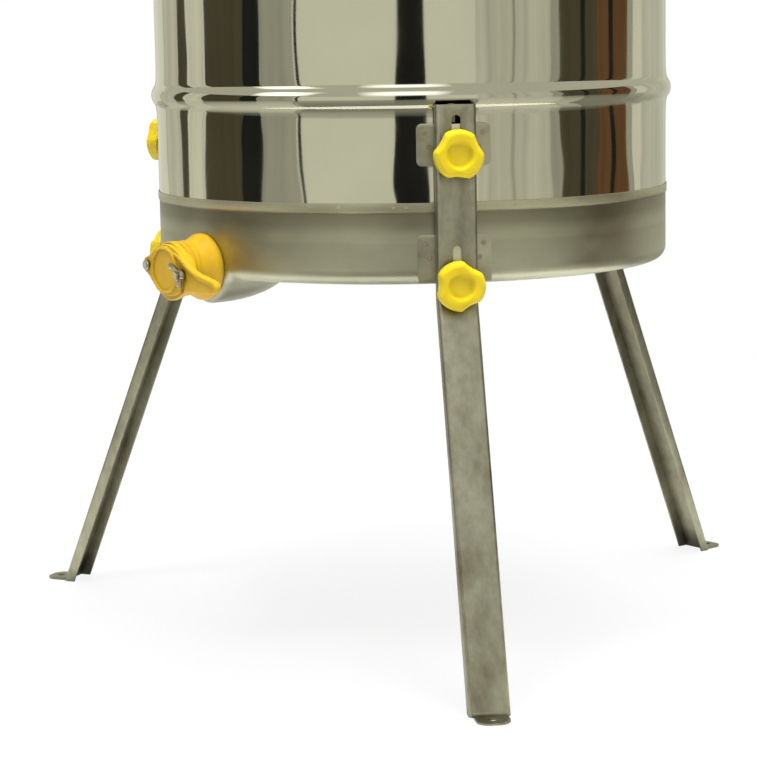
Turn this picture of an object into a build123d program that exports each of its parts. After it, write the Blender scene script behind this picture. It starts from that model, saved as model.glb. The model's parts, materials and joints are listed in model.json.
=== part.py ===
from build123d import *
from math import acos, atan2, cos, hypot, pi, radians, sin, sqrt, tan
import os

# Hand-driven radial honey extractor on three adjustable legs.
# Millimetres. The origin is on the floor under the drum's axis, +Z is up and the honey gate faces -Y.
# An azimuth is counted from the gate towards +X.

# Fits
seat_gap = 0.1  # fixed pieces that lie against each other
running_gap = 0.05  # radial, shaft in its bush
clear_gap = 0.3  # moving pieces that pass each other

# Drum and bottom pan
drum_radius = 262.5
sheet = 1.0
pan_floor_height = 373.0
pan_depth = 77.5
pan_corner_radius = 18.0
pan_floor_rise = 8.0
pan_centre_radius = 45.0
seam_lip_height = 8.0
drum_depth = 602.0
rim_wire_radius = 5.5
bead_projection = 5.5
bead_crown_radius = 8.0
bead_blend_radius = 12.0
lower_bead_above_seam = 97.5
upper_bead_below_rim = 110.0

# Outlet trough pressed into the pan
gate_axis_above_floor = 11.5
sump_radius = 36.5
sump_straight = 18.0
sump_taper = 86.0
sump_edge_radius = 8.0

# Honey gate
gate_tilt = 5.5
outlet_bore_radius = 20.0
stub_wall = 3.0
stub_inside = 3.0
stub_reach = 16.0
gasket_thickness = 2.5
gasket_width = 8.0
gate_length = 38.0
bell_radius = 32.5
bell_rim = 4.0
bell_length = 14.0
neck_wall = 5.0
collar_wall = 7.0
collar_width = 4.0
flange_thickness = 7.0
flange_radius = 27.3
gate_bolt_offset = 31.0
gate_bolt_radius = 3.0
gate_ear_radius = 8.5
plate_thickness = 4.6
plate_radius = 25.0
plate_edge_radius = 1.0
disc_rim_radius = 21.5
disc_rim_width = 2.8
disc_rim_height = 1.8
handle_reach = 90.0
handle_tip_radius = 7.0
handle_root_radius = 15.0
hook_swing = 22.0
screw_head_radius = 5.0
screw_head_height = 3.4
wing_nut_radius = 6.0
wing_nut_height = 6.0
wing_nut_taper = 8.0
wing_reach = 13.5
wing_rise = 12.5
wing_lobe_radius = 3.6
wing_root_radius = 1.5
wing_thickness = 2.4
wing_turn = 135.0

# Legs
leg_azimuths = {"front_left": -60.0, "front_right": 60.0, "rear": 180.0}
leg_standoff = 15.5
leg_width = 38.5
leg_depth = 12.0
leg_sheet = 2.0
leg_corner_radius = 3.5
leg_splay = 21.8
leg_bend_radius = 15.0
leg_top_above_stud = 46.0
leg_bend_below_stud = 13.0
slot_travel = 32.0
foot_length = 26.0
foot_corner_radius = 12.0
foot_bend_radius = 4.0
foot_hole_radius = 4.0
foot_hole_inset = 12.0

# Leg brackets, studs and knobs
stud_above_floor = 1.5
stud_pitch = 121.5
stud_radius = 4.0
stud_head_radius = 7.0
stud_head_height = 3.0
stud_engagement = 9.0
stud_tail_room = 1.0
bracket_sheet = 1.5
bracket_half_width = 35.0
bracket_corner = 5.0
upper_bracket_below_stud = 11.5
upper_bracket_above_stud = 28.0
lower_bracket_below_stud = 12.5
lower_ear_above_stud = 1.0
lower_bracket_above_stud = 46.0
washer_radius = 10.0
washer_thickness = 1.5
knob_radius = 23.5
knob_head_height = 14.5
knob_boss_radius = 11.0
knob_boss_height = 5.5
knob_edge_radius = 4.0
knob_back_radius = 1.5
knob_scallops = 3
knob_scallop_radius = 38.0
knob_scallop_depth = 3.3
knob_scallop_corner = 5.0
knob_recess_radius = 14.0
knob_recess_taper = 40.0
knob_recess_depth = 3.5
knob_turns = {"upper": 27.0, "lower": 57.0}

# Crossbar
crossbar_width = 104.0
crossbar_height = 32.0
crossbar_sheet = 2.0
crossbar_overhang = 3.5
end_bracket_width = 56.0
end_bracket_sheet = 4.0
end_bracket_drop = 48.0
end_bracket_flange = 50.0
crossbar_corner_radius = 3.0
deck_bolt_radius = 3.0
bolt_head_radius = 5.8
bolt_head_height = 4.0
bolt_nut_height = 5.0
wall_screw_drop = 28.0
end_bolt_spread = 40.0

# Shaft and its bearings
shaft_radius = 10.0
foot_journal_radius = 8.0
top_journal_radius = 6.0
cup_base_radius = 36.0
cup_base_height = 5.0
cup_collar_radius = 20.0
cup_journal_length = 18.0
ball_radius = 6.0
bush_wall = 4.0
bush_flange_radius = 15.0
bush_flange_height = 2.0
housing_flange_radius = 30.0
housing_flange_height = 5.0
housing_wall = 6.0
housing_length = 26.0

# Basket
frame_bays = 9
basket_wall_gap = 13.0
basket_rod_radius = 4.0
guide_rod_radius = 3.0
guide_ring_radius = 72.0
hub_radius = 28.0
hub_height = 20.0
basket_above_cup = 15.0
basket_below_rim = 60.0

# Bevel drive
gear_module = 2.5
pinion_teeth = 12
gear_teeth = 36
face_width = 14.0
pressure_angle = 25.0
addendum_share = 0.8
dedendum_share = 1.05
flank_clearance = 0.12
cutter_overrun = 0.1  # share of the cone distance, past each end of the teeth
cutter_height = 1.4  # in addenda
pinion_web = 1.0
pinion_hub_radius = 12.0
pinion_hub_height = 3.0
gear_web = 6.0
gear_hub_radius = 16.0
gear_hub_length = 14.0
gear_cover_sheet = 1.5
gear_cover_gap = 4.0
cover_edge_radius = 1.2
cover_tab_length = 16.0
cover_tab_width = 60.0
cover_screw_spread = 36.0

# Crank
crank_shaft_radius = 8.0
crank_end_radius = 6.0
pillow_length = 22.0
pillow_base_width = 80.0
pillow_base_height = 8.0
pillow_head_radius = 20.0
pillow_bolt_spread = 60.0
inner_pillow_clearance = 4.0
outer_pillow_inset = 75.0
crank_radius = 150.0
crank_arm_thickness = 8.0
crank_arm_clearance = 8.0
crank_arm_chamfer = 1.0
crank_hub_radius = 16.0
crank_tip_radius = 12.0
crank_nut_radius = 10.0
crank_nut_height = 9.0
crank_thread_tail = 2.0
grip_pin_radius = 5.0
grip_pin_head_radius = 8.0
grip_pin_head_height = 4.0
grip_length = 98.0
grip_radius = 15.0
grip_waist_radius = 12.5
grip_end_radius = 4.0

# Lids
lid_thickness = 4.0
lid_overhang = 1.0
lid_edge_radius = 1.0
hinge_rod_radius = 3.0
hinge_rod_half_length = 212.0
hinge_rod_offset = 10.0
hinge_rod_rise = 8.0
hinge_eye_wall = 3.0
hinge_clip_spread = 240.0
hinge_clip_width = 24.0
hinge_clip_foot = 22.0
rod_bracket_spread = 400.0
rod_bracket_width = 8.0
lid_knob_radius = 14.0
lid_knob_neck = 6.0
lid_knob_height = 24.0
lid_knob_neck_height = 8.0
lid_knob_brim_height = 18.0
lid_knob_shift = 60.0
lid_knob_inset = 34.0

# Heights and radii that follow from the sizes above
inner_radius = drum_radius - sheet
seam_top = pan_floor_height + pan_depth
seam_ledge = seam_top - seam_lip_height
rim_top = pan_floor_height + drum_depth
rim_wire_height = rim_top - rim_wire_radius
rim_wire_centre = inner_radius + rim_wire_radius
rim_outer_radius = rim_wire_centre + rim_wire_radius
pan_centre_height = pan_floor_height + pan_floor_rise + sheet
gate_height = pan_floor_height + gate_axis_above_floor
gate_axis = Axis((0, 0, gate_height), (0, -1, 0))
gate_seat = drum_radius + gasket_thickness
gate_front = gate_seat + gate_length
flange_back = gate_front - flange_thickness
plate_back = gate_front + seat_gap
plate_front = plate_back + plate_thickness
stub_radius = outlet_bore_radius + stub_wall
gasket_radius = stub_radius + seat_gap + gasket_width
stud_heights = {
    "lower": pan_floor_height + stud_above_floor,
    "upper": pan_floor_height + stud_above_floor + stud_pitch,
}
leg_face_radius = drum_radius + leg_standoff
leg_top = stud_heights["upper"] + leg_top_above_stud
leg_bend_height = stud_heights["lower"] - leg_bend_below_stud
foot_radius = leg_face_radius + leg_bend_height * tan(radians(leg_splay))
bracket_face_radius = leg_face_radius - leg_sheet - seat_gap
bracket_box_half = leg_width / 2 - leg_sheet - clear_gap
washer_seat = leg_face_radius + seat_gap
knob_seat = washer_seat + washer_thickness + seat_gap
deck_height = rim_top + seat_gap + crossbar_height
crossbar_half_length = rim_outer_radius + crossbar_overhang
ball_height = pan_centre_height + seat_gap + cup_base_height + seat_gap + ball_radius
shaft_foot = ball_height + ball_radius + seat_gap
cup_top = shaft_foot + cup_journal_length
lower_spoke_height = cup_top + basket_above_cup
upper_spoke_height = rim_top - basket_below_rim
basket_radius = inner_radius - basket_wall_gap - basket_rod_radius
top_bush_radius = top_journal_radius + running_gap + bush_wall
housing_foot = deck_height - crossbar_sheet - seat_gap - housing_length
crank_bush_radius = crank_shaft_radius + running_gap + bush_wall
lid_foot = rim_top + clear_gap
lid_top = lid_foot + lid_thickness
hinge_rod_across = crossbar_width / 2 + hinge_rod_offset
hinge_rod_height = lid_top + hinge_rod_rise

# Pitch cones of the bevel pair, which share one apex on the crank's axis
pinion_cone = atan2(pinion_teeth, gear_teeth)
gear_cone = pi / 2 - pinion_cone
pinion_pitch_radius = gear_module * pinion_teeth / 2
gear_pitch_radius = gear_module * gear_teeth / 2
cone_distance = hypot(pinion_pitch_radius, gear_pitch_radius)
addendum = addendum_share * gear_module
dedendum = dedendum_share * gear_module
pinion_seat = deck_height + bush_flange_height + clear_gap
pinion_depth = gear_pitch_radius + dedendum * sin(pinion_cone) + pinion_web + pinion_hub_height
apex_height = pinion_seat + pinion_depth
shaft_top = apex_height - gear_pitch_radius * (1 - face_width / cone_distance)
gear_tip_radius = gear_pitch_radius + addendum * cos(gear_cone)
gear_back = pinion_pitch_radius + dedendum * sin(gear_cone) + gear_web
gear_hub_end = gear_back + gear_hub_length
cover_inner_radius = gear_tip_radius + gear_cover_gap
cover_left = -(pinion_pitch_radius + addendum + gear_cover_gap)
cover_right = gear_hub_end + gear_cover_gap
inner_pillow = cover_right + gear_cover_sheet + cover_tab_length + inner_pillow_clearance
outer_pillow = crossbar_half_length - outer_pillow_inset - pillow_length
crank_arm_start = crossbar_half_length + crank_arm_clearance
crank_arm_end = crank_arm_start + crank_arm_thickness
grip_start = crank_arm_end + clear_gap
grip_end = grip_start + grip_length


def facing(azimuth, radius, height):
    """Plane square to a radius of the drum: x to the right seen from outside, y up, z straight out."""
    turn = radians(azimuth)
    return Plane(
        origin=(radius * sin(turn), -radius * cos(turn), height),
        x_dir=(cos(turn), sin(turn), 0),
        z_dir=(sin(turn), -cos(turn), 0),
    )


def upright(azimuth):
    """Vertical plane through the drum's axis: x straight out, y up."""
    turn = radians(azimuth)
    return Plane((0, 0, 0), x_dir=(sin(turn), -cos(turn), 0), z_dir=(-cos(turn), -sin(turn), 0))


def plan(azimuth, height):
    """Level plane: x straight out along the azimuth, y to the right seen from outside."""
    turn = radians(azimuth)
    return Plane((0, 0, height), x_dir=(sin(turn), -cos(turn), 0), z_dir=(0, 0, 1))


def gate_face(distance, across=0.0):
    """Plane square to the outlet: x along the line of the gate's bolts, y up, z straight out."""
    tilt = radians(gate_tilt)
    return Plane(
        origin=(across * cos(tilt), -distance, gate_height - across * sin(tilt)),
        x_dir=(cos(tilt), 0, -sin(tilt)),
        z_dir=(0, -1, 0),
    )


def crosswise(x):
    """Plane square to the crossbar: x along +Y, y up, z along +X."""
    return Plane((x, 0, 0), x_dir=(0, 1, 0), z_dir=(1, 0, 0))


def keep(builder, node):
    """Labels a finished piece and writes it under its node's name."""
    builder.part.label = node
    export_step(builder.part, f"parts/{node}.step")


def bead(height):
    """Rolled bead in the wall's outline: a crown arc between two blend arcs."""
    reach = bead_crown_radius + bead_blend_radius
    half = sqrt(reach**2 - (reach - bead_projection) ** 2)
    share = bead_crown_radius / reach
    meet = drum_radius + bead_projection - bead_crown_radius + share * (reach - bead_projection)
    low = TangentArc((drum_radius, height - half), (meet, height - share * half), tangent=(0, 1))
    crown = TangentArc(low @ 1, (meet, height + share * half), tangent=low % 1)
    TangentArc(crown @ 1, (drum_radius, height + half), tangent=crown % 1)
    return half


def make_sump(inset):
    """Block that shapes the outlet trough, drawn in by the inset: its front follows the drum's wall."""
    radius = sump_radius - inset
    shoulder = drum_radius - sump_straight
    front = drum_radius + sump_radius
    with BuildPart() as block:
        with BuildSketch(upright(0)):
            with BuildLine():
                Line((front, gate_height), (front, gate_height + radius))
                Line((front, gate_height + radius), (shoulder, gate_height + radius))
                EllipticalCenterArc((shoulder, gate_height), sump_taper - inset, radius, 90, arc_size=90)
                Line((shoulder - sump_taper + inset, gate_height), (front, gate_height))
            make_face()
        revolve(axis=gate_axis)
        Cylinder(drum_radius - inset, 2 * rim_top, mode=Mode.INTERSECT)
        fillet(block.edges().sort_by(Axis.Y)[0], sump_edge_radius - inset)
    return block.part


os.makedirs("parts", exist_ok=True)

# Drum wall with two rolled beads
with BuildPart() as drum_wall:
    with BuildSketch(Plane.XZ):
        with BuildLine():
            lower_bead = seam_top + lower_bead_above_seam
            upper_bead = rim_top - upper_bead_below_rim
            bead_half = bead(lower_bead)
            Line((drum_radius, seam_ledge + seat_gap), (drum_radius, lower_bead - bead_half))
            bead(upper_bead)
            Line((drum_radius, lower_bead + bead_half), (drum_radius, upper_bead - bead_half))
            Line((drum_radius, upper_bead + bead_half), (drum_radius, rim_wire_height))
            offset(amount=sheet, side=Side.LEFT)
        make_face()
    revolve(axis=Axis.Z)
    with BuildSketch(crosswise(-rim_outer_radius)):
        with Locations((0, rim_top - wall_screw_drop)):
            with GridLocations(end_bolt_spread, 0, 2, 1):
                Circle(deck_bolt_radius + seat_gap)
    extrude(amount=2 * rim_outer_radius, mode=Mode.SUBTRACT)
keep(drum_wall, "drum_wall")

# Rolled rim, notched for the wall's top edge
with BuildPart() as rim_wire:
    with BuildSketch(Plane.XZ):
        with Locations((rim_wire_centre, rim_wire_height)):
            Circle(rim_wire_radius)
        with Locations((drum_radius + seat_gap, rim_wire_height + seat_gap)):
            Rectangle(rim_wire_radius, rim_wire_radius * 2, align=(Align.MAX, Align.MAX), mode=Mode.SUBTRACT)
    revolve(axis=Axis.Z)
keep(rim_wire, "rim_wire")

# Bottom pan with its seam lip and the outlet trough
with BuildPart() as bottom_pan:
    add(make_sump(0))
    lip_radius = drum_radius + seat_gap + sheet
    corner_radius = drum_radius - pan_corner_radius
    corner_height = pan_floor_height + pan_corner_radius
    centre_height = pan_floor_height + pan_floor_rise
    with BuildSketch(Plane.XZ):
        with BuildLine():
            Polyline(
                (0, seam_top),
                (0, centre_height),
                (pan_centre_radius, centre_height),
                (corner_radius, pan_floor_height),
            )
            RadiusArc((corner_radius, pan_floor_height), (drum_radius, corner_height), -pan_corner_radius)
            Polyline(
                (drum_radius, corner_height),
                (drum_radius, seam_ledge - sheet),
                (lip_radius, seam_ledge),
                (lip_radius, seam_top),
                (0, seam_top),
            )
        make_face()
    revolve(axis=Axis.Z)
    with BuildSketch(Plane.XZ):
        with BuildLine():
            Polyline(
                (0, seam_top),
                (0, pan_centre_height),
                (pan_centre_radius, pan_centre_height),
                (corner_radius, pan_floor_height + sheet),
            )
            RadiusArc(
                (corner_radius, pan_floor_height + sheet),
                (inner_radius, corner_height),
                -(pan_corner_radius - sheet),
            )
            Polyline(
                (inner_radius, corner_height),
                (inner_radius, seam_ledge),
                (drum_radius + seat_gap, seam_ledge),
                (drum_radius + seat_gap, seam_top),
                (0, seam_top),
            )
        make_face()
    revolve(axis=Axis.Z, mode=Mode.SUBTRACT)
    add(make_sump(sheet), mode=Mode.SUBTRACT)
    with BuildSketch(gate_face(drum_radius - sump_straight)):
        Circle(stub_radius + seat_gap)
    extrude(amount=2 * sump_straight, mode=Mode.SUBTRACT)
keep(bottom_pan, "bottom_pan")

# Outlet stub through the trough's front wall
with BuildPart() as outlet_stub:
    with BuildSketch(gate_face(inner_radius - stub_inside)):
        Circle(stub_radius)
        Circle(outlet_bore_radius, mode=Mode.SUBTRACT)
    extrude(amount=stub_inside + sheet + gasket_thickness + stub_reach)
keep(outlet_stub, "outlet_stub")

# Gasket between the curved wall and the gate's flat seat
with BuildPart() as gate_gasket:
    with BuildSketch(gate_face(inner_radius - gasket_width)):
        Circle(gasket_radius)
        Circle(stub_radius + seat_gap, mode=Mode.SUBTRACT)
    extrude(amount=sheet + gasket_width + gasket_thickness - seat_gap)
    Cylinder(drum_radius + seat_gap, 2 * rim_top, mode=Mode.SUBTRACT)
keep(gate_gasket, "gate_gasket")

# Gate body: bell with a skirt round the gasket, neck, collar and the lozenge flange that the plate slides on
with BuildPart() as gate_body:
    neck_radius = outlet_bore_radius + neck_wall
    collar_radius = outlet_bore_radius + collar_wall
    bell_end = gate_seat + bell_rim + bell_length
    skirt_foot = drum_radius - gasket_thickness
    with BuildSketch(upright(0)):
        with BuildLine():
            Polyline(
                (flange_back, gate_height + neck_radius),
                (flange_back, gate_height + outlet_bore_radius),
                (gate_seat + stub_reach + seat_gap, gate_height + outlet_bore_radius),
                (gate_seat + stub_reach + seat_gap, gate_height + stub_radius + seat_gap),
                (gate_seat, gate_height + stub_radius + seat_gap),
                (gate_seat, gate_height + gasket_radius + seat_gap),
                (skirt_foot, gate_height + gasket_radius + seat_gap),
                (skirt_foot, gate_height + bell_radius),
                (gate_seat + bell_rim, gate_height + bell_radius),
            )
            TangentArc(
                (bell_end, gate_height + neck_radius),
                (gate_seat + bell_rim, gate_height + bell_radius),
                tangent=(-1, 0),
            )
            Line((bell_end, gate_height + neck_radius), (flange_back, gate_height + neck_radius))
        make_face()
    revolve(axis=gate_axis)
    Cylinder(drum_radius + seat_gap, 2 * rim_top, mode=Mode.SUBTRACT)
    with BuildSketch(gate_face(bell_end)):
        Circle(collar_radius)
        Circle(outlet_bore_radius, mode=Mode.SUBTRACT)
    extrude(amount=collar_width)
    with BuildSketch(gate_face(flange_back)):
        Circle(flange_radius)
        with GridLocations(2 * gate_bolt_offset, 0, 2, 1):
            Circle(gate_ear_radius)
        make_hull()
        Circle(outlet_bore_radius, mode=Mode.SUBTRACT)
        with GridLocations(2 * gate_bolt_offset, 0, 2, 1):
            Circle(gate_bolt_radius + running_gap, mode=Mode.SUBTRACT)
    extrude(amount=flange_thickness)
keep(gate_body, "gate_body")

# Gate plate: disc with a raised rim, pivot ear, hook over the clamp bolt, and handle
with BuildPart() as gate_plate:
    hook_half_width = gate_bolt_radius + clear_gap
    with BuildSketch(gate_face(plate_back)):
        Circle(plate_radius)
        with Locations((-gate_bolt_offset, 0)):
            Circle(gate_ear_radius)
        make_hull()
    with BuildSketch(gate_face(plate_back)):
        with Locations((plate_radius - handle_root_radius / 2, 0)):
            Circle(handle_root_radius)
        with Locations((handle_reach - handle_tip_radius, 0)):
            Circle(handle_tip_radius)
        make_hull()
    extrude(amount=plate_thickness)
    fillet(gate_plate.faces().sort_by(Axis.Y)[0].outer_wire().edges(), plate_edge_radius)
    with BuildSketch(gate_face(plate_front)):
        Circle(disc_rim_radius)
        Circle(disc_rim_radius - disc_rim_width, mode=Mode.SUBTRACT)
    extrude(amount=disc_rim_height)
    with BuildSketch(gate_face(plate_back)):
        with Locations((-gate_bolt_offset, 0)):
            Circle(gate_bolt_radius + running_gap)
        with Locations((gate_bolt_offset, 0)):
            Circle(hook_half_width)
        with BuildLine():
            pivot = (-gate_bolt_offset, 0)
            inner_side = CenterArc(pivot, 2 * gate_bolt_offset - hook_half_width, -hook_swing, hook_swing)
            outer_side = CenterArc(pivot, 2 * gate_bolt_offset + hook_half_width, -hook_swing, hook_swing)
            Line(inner_side @ 0, outer_side @ 0)
            Line(inner_side @ 1, outer_side @ 1)
        make_face()
    extrude(amount=plate_thickness, mode=Mode.SUBTRACT)
keep(gate_plate, "gate_plate")

# Pivot screw: pan head over the plate, shank through the plate and into the body's ear
with BuildPart() as gate_pivot_screw:
    head_seat = plate_front + seat_gap
    with BuildSketch(gate_face(flange_back, -gate_bolt_offset)):
        Circle(gate_bolt_radius)
    extrude(amount=head_seat - flange_back)
    with BuildSketch(gate_face(head_seat, -gate_bolt_offset)):
        Circle(screw_head_radius)
    extrude(amount=screw_head_height)
    fillet(gate_pivot_screw.faces().sort_by(Axis.Y)[0].edges(), screw_head_height / 2)
keep(gate_pivot_screw, "gate_pivot_screw")

# Clamp bolt: hexagon head behind the body's other ear, shank out to the wing nut
with BuildPart() as gate_clamp_bolt:
    with BuildSketch(gate_face(flange_back - seat_gap, gate_bolt_offset)):
        RegularPolygon(screw_head_radius, 6)
    extrude(amount=-screw_head_height)
    with BuildSketch(gate_face(flange_back - seat_gap, gate_bolt_offset)):
        Circle(gate_bolt_radius)
    extrude(amount=plate_front + wing_nut_height + gate_bolt_radius - flange_back)
keep(gate_clamp_bolt, "gate_clamp_bolt")

# Wing nut: round base with two rounded wings that rise as they spread
with BuildPart() as gate_wing_nut:
    nut_seat = plate_front + seat_gap
    nut_base = gate_face(nut_seat, gate_bolt_offset)
    wing_dir = (nut_base.x_dir * cos(radians(wing_turn))) + (nut_base.y_dir * sin(radians(wing_turn)))
    wing_plane = Plane(nut_base.origin, x_dir=wing_dir, z_dir=wing_dir.cross(nut_base.z_dir))
    with BuildSketch(nut_base):
        Circle(wing_nut_radius)
    extrude(amount=wing_nut_height, taper=wing_nut_taper)
    for side in (-1, 1):
        with BuildSketch(wing_plane):
            with Locations((side * (wing_reach - wing_lobe_radius), wing_rise - wing_lobe_radius)):
                Circle(wing_lobe_radius)
            with Locations((side * wing_nut_radius / 2, wing_nut_height / 2)):
                Circle(wing_root_radius)
            make_hull()
        extrude(amount=wing_thickness / 2, both=True)
    with BuildSketch(nut_base):
        Circle(gate_bolt_radius + running_gap)
    extrude(amount=2 * wing_rise, mode=Mode.SUBTRACT)
keep(gate_wing_nut, "gate_wing_nut")


def make_leg(azimuth):
    """Channel leg: slotted upright part, splayed lower part and a foot tab turned out on the floor."""
    face = facing(azimuth, leg_face_radius, leg_top)
    lean = tan(radians(leg_splay))
    with BuildPart() as leg:
        with BuildLine(upright(azimuth)) as course:
            FilletPolyline(
                (leg_face_radius, leg_top),
                (leg_face_radius, leg_bend_height),
                (foot_radius + leg_depth * lean, -leg_depth),
                radius=leg_bend_radius,
            )
        with BuildSketch(Plane(face.origin, x_dir=face.x_dir, z_dir=(0, 0, -1))) as section:
            Rectangle(leg_width, leg_depth, align=(Align.CENTER, Align.MAX))
            fillet(section.vertices().group_by(Axis.Y)[-1], leg_corner_radius)
            with Locations((0, -leg_sheet)):
                inside = leg_width - 2 * leg_sheet
                Rectangle(inside, leg_depth, align=(Align.CENTER, Align.MAX), mode=Mode.SUBTRACT)
        sweep(path=course.wire())
        split(bisect_by=Plane.XY, keep=Keep.TOP)
        with BuildSketch(upright(azimuth)):
            with BuildLine():
                FilletPolyline(
                    (foot_radius - leg_depth * lean, leg_depth),
                    (foot_radius - leg_sheet * lean, leg_sheet),
                    (foot_radius + foot_length, leg_sheet),
                    radius=foot_bend_radius,
                )
                offset(amount=leg_sheet, side=Side.RIGHT)
            make_face()
        extrude(amount=leg_width / 2 - leg_corner_radius, both=True)
        outward = Axis((0, 0, 0), face.z_dir)
        fillet(leg.edges().filter_by(Axis.Z).sort_by(outward)[-2:], foot_corner_radius)
        with BuildSketch(plan(azimuth, 0)):
            with Locations((foot_radius + foot_length - foot_hole_inset, 0)):
                Circle(foot_hole_radius)
        extrude(amount=leg_sheet, mode=Mode.SUBTRACT)
        with BuildSketch(facing(azimuth, bracket_face_radius, slot_travel / 2)):
            with Locations(*[(0, height) for height in stud_heights.values()]):
                SlotCenterToCenter(slot_travel, 2 * (stud_radius + clear_gap), rotation=90)
        extrude(amount=2 * leg_sheet, mode=Mode.SUBTRACT)
    return leg


def make_bracket(azimuth, level, foot, ear_foot, top):
    """Hat-section leg bracket: ears that follow the drum's wall and a box that fits inside the leg."""
    with BuildPart() as bracket:
        with BuildSketch(plan(azimuth, foot)):
            Circle(drum_radius + seat_gap + bracket_sheet)
            with Locations((bracket_face_radius, 0)):
                box = (2 * leg_standoff, 2 * bracket_box_half)
                Rectangle(*box, align=(Align.MAX, Align.CENTER))
                ears = (2 * leg_standoff, 2 * bracket_half_width)
                Rectangle(*ears, align=(Align.MAX, Align.CENTER), mode=Mode.INTERSECT)
            with Locations((bracket_face_radius - bracket_sheet, 0)):
                hollow = (2 * leg_standoff, 2 * (bracket_box_half - bracket_sheet))
                Rectangle(*hollow, align=(Align.MAX, Align.CENTER), mode=Mode.SUBTRACT)
            Circle(drum_radius + seat_gap, mode=Mode.SUBTRACT)
        extrude(amount=top - foot)
        with BuildSketch(facing(azimuth, 0, 0)) as front:
            with Locations((0, (ear_foot + top) / 2)):
                Rectangle(2 * bracket_half_width, top - ear_foot)
            chamfer(front.vertices(), bracket_corner)
            with Locations((0, foot)):
                Rectangle(2 * bracket_box_half, top - foot, align=(Align.CENTER, Align.MIN))
        extrude(amount=2 * drum_radius, mode=Mode.INTERSECT)
        with BuildSketch(facing(azimuth, bracket_face_radius - 2 * bracket_sheet, stud_heights[level])):
            Circle(stud_radius + seat_gap)
        extrude(amount=3 * bracket_sheet, mode=Mode.SUBTRACT)
    return bracket.part


def make_knob(azimuth, level):
    """Scalloped clamping knob with a boss behind, a dished face and a blind threaded hole."""
    head = facing(azimuth, knob_seat + knob_boss_height, stud_heights[level])
    outward = Axis(head.origin, head.z_dir)
    with BuildPart() as knob:
        with BuildSketch(head) as lobes:
            Circle(knob_radius)
            scallop_centre = knob_radius + knob_scallop_radius - knob_scallop_depth
            with PolarLocations(scallop_centre, knob_scallops, start_angle=knob_turns[level]):
                Circle(knob_scallop_radius, mode=Mode.SUBTRACT)
            fillet(lobes.vertices(), knob_scallop_corner)
        extrude(amount=knob_head_height)
        fillet(knob.faces().sort_by(outward)[-1].edges(), knob_edge_radius)
        fillet(knob.faces().sort_by(outward)[0].edges(), knob_back_radius)
        with BuildSketch(head):
            Circle(knob_boss_radius)
        extrude(amount=-knob_boss_height)
        with BuildSketch(head.offset(knob_head_height)):
            Circle(knob_recess_radius)
        extrude(amount=-knob_recess_depth, taper=knob_recess_taper, mode=Mode.SUBTRACT)
        with BuildSketch(head.offset(-knob_boss_height)):
            Circle(stud_radius + running_gap)
        extrude(amount=knob_boss_height + stud_engagement + stud_tail_room, mode=Mode.SUBTRACT)
    return knob


def make_bolts(seats, grip):
    """Hexagon bolts whose heads sit on the given planes, with a nut under the clamped stack."""
    with BuildPart() as bolts:
        with BuildSketch(*seats):
            RegularPolygon(bolt_head_radius, 6)
        extrude(amount=bolt_head_height)
        with BuildSketch(*seats):
            Circle(deck_bolt_radius)
        extrude(amount=-(grip + bolt_nut_height + deck_bolt_radius))
        with BuildSketch(*[seat.offset(-grip) for seat in seats]):
            RegularPolygon(bolt_head_radius, 6)
            Circle(deck_bolt_radius + running_gap, mode=Mode.SUBTRACT)
        extrude(amount=-bolt_nut_height)
    return bolts


def make_ring(radius, height, rod):
    """Closed hoop of round rod."""
    with BuildPart() as ring:
        with BuildSketch(Plane.XZ):
            with Locations((radius, height)):
                Circle(rod)
        revolve(axis=Axis.Z)
    return ring


def make_spokes(height):
    """Radial rods from a hub to the outer ring, between the frame bays."""
    seats = [facing(azimuth, hub_radius + seat_gap, height) for azimuth in spoke_azimuths]
    with BuildPart() as spokes:
        with BuildSketch(*seats):
            Circle(basket_rod_radius)
        extrude(amount=basket_radius - basket_rod_radius - hub_radius - 2 * seat_gap)
    return spokes


def make_hub(height):
    """Round hub on the basket's shaft."""
    with BuildPart() as hub:
        with BuildSketch(Plane.XY.offset(height - hub_height / 2)):
            Circle(hub_radius)
            Circle(shaft_radius + seat_gap, mode=Mode.SUBTRACT)
        extrude(amount=hub_height)
    return hub


def make_tooth_gap(teeth, cone):
    """Space between two bevel teeth, about the local +Z axis with the pitch cone's apex at the origin."""
    pressure = radians(pressure_angle)
    pitch_radius = gear_module * teeth / (2 * cos(cone))
    base_radius = pitch_radius * cos(pressure)
    half_pitch = pi * cos(cone) / teeth
    flank = []
    root_radius = pitch_radius - dedendum
    beyond_tip = pitch_radius + cutter_height * addendum
    for radius in sorted({root_radius, max(root_radius, base_radius), pitch_radius, beyond_tip}):
        roll = acos(min(1, base_radius / radius))
        tooth_half = half_pitch / 2 + (tan(pressure) - pressure) - (tan(roll) - roll)
        gap_half = half_pitch - tooth_half + flank_clearance / pitch_radius
        flank.append((radius * sin(gap_half), radius * cos(gap_half) - pitch_radius))
    outline = flank + [(-across, along) for across, along in reversed(flank)]
    toe_share = 1 - face_width / cone_distance
    with BuildPart() as gap:
        for share in ((1 - cutter_overrun) * toe_share, 1 + cutter_overrun):
            distance = share * cone_distance
            section = Plane(
                origin=(distance * sin(cone), 0, distance * cos(cone)),
                x_dir=(0, 1, 0),
                z_dir=(-sin(cone), 0, -cos(cone)),
            )
            with BuildSketch(section):
                with BuildLine():
                    Polyline(*[(share * across, share * along) for across, along in outline], close=True)
                make_face()
        loft(ruled=True)
    return gap.part


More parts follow.
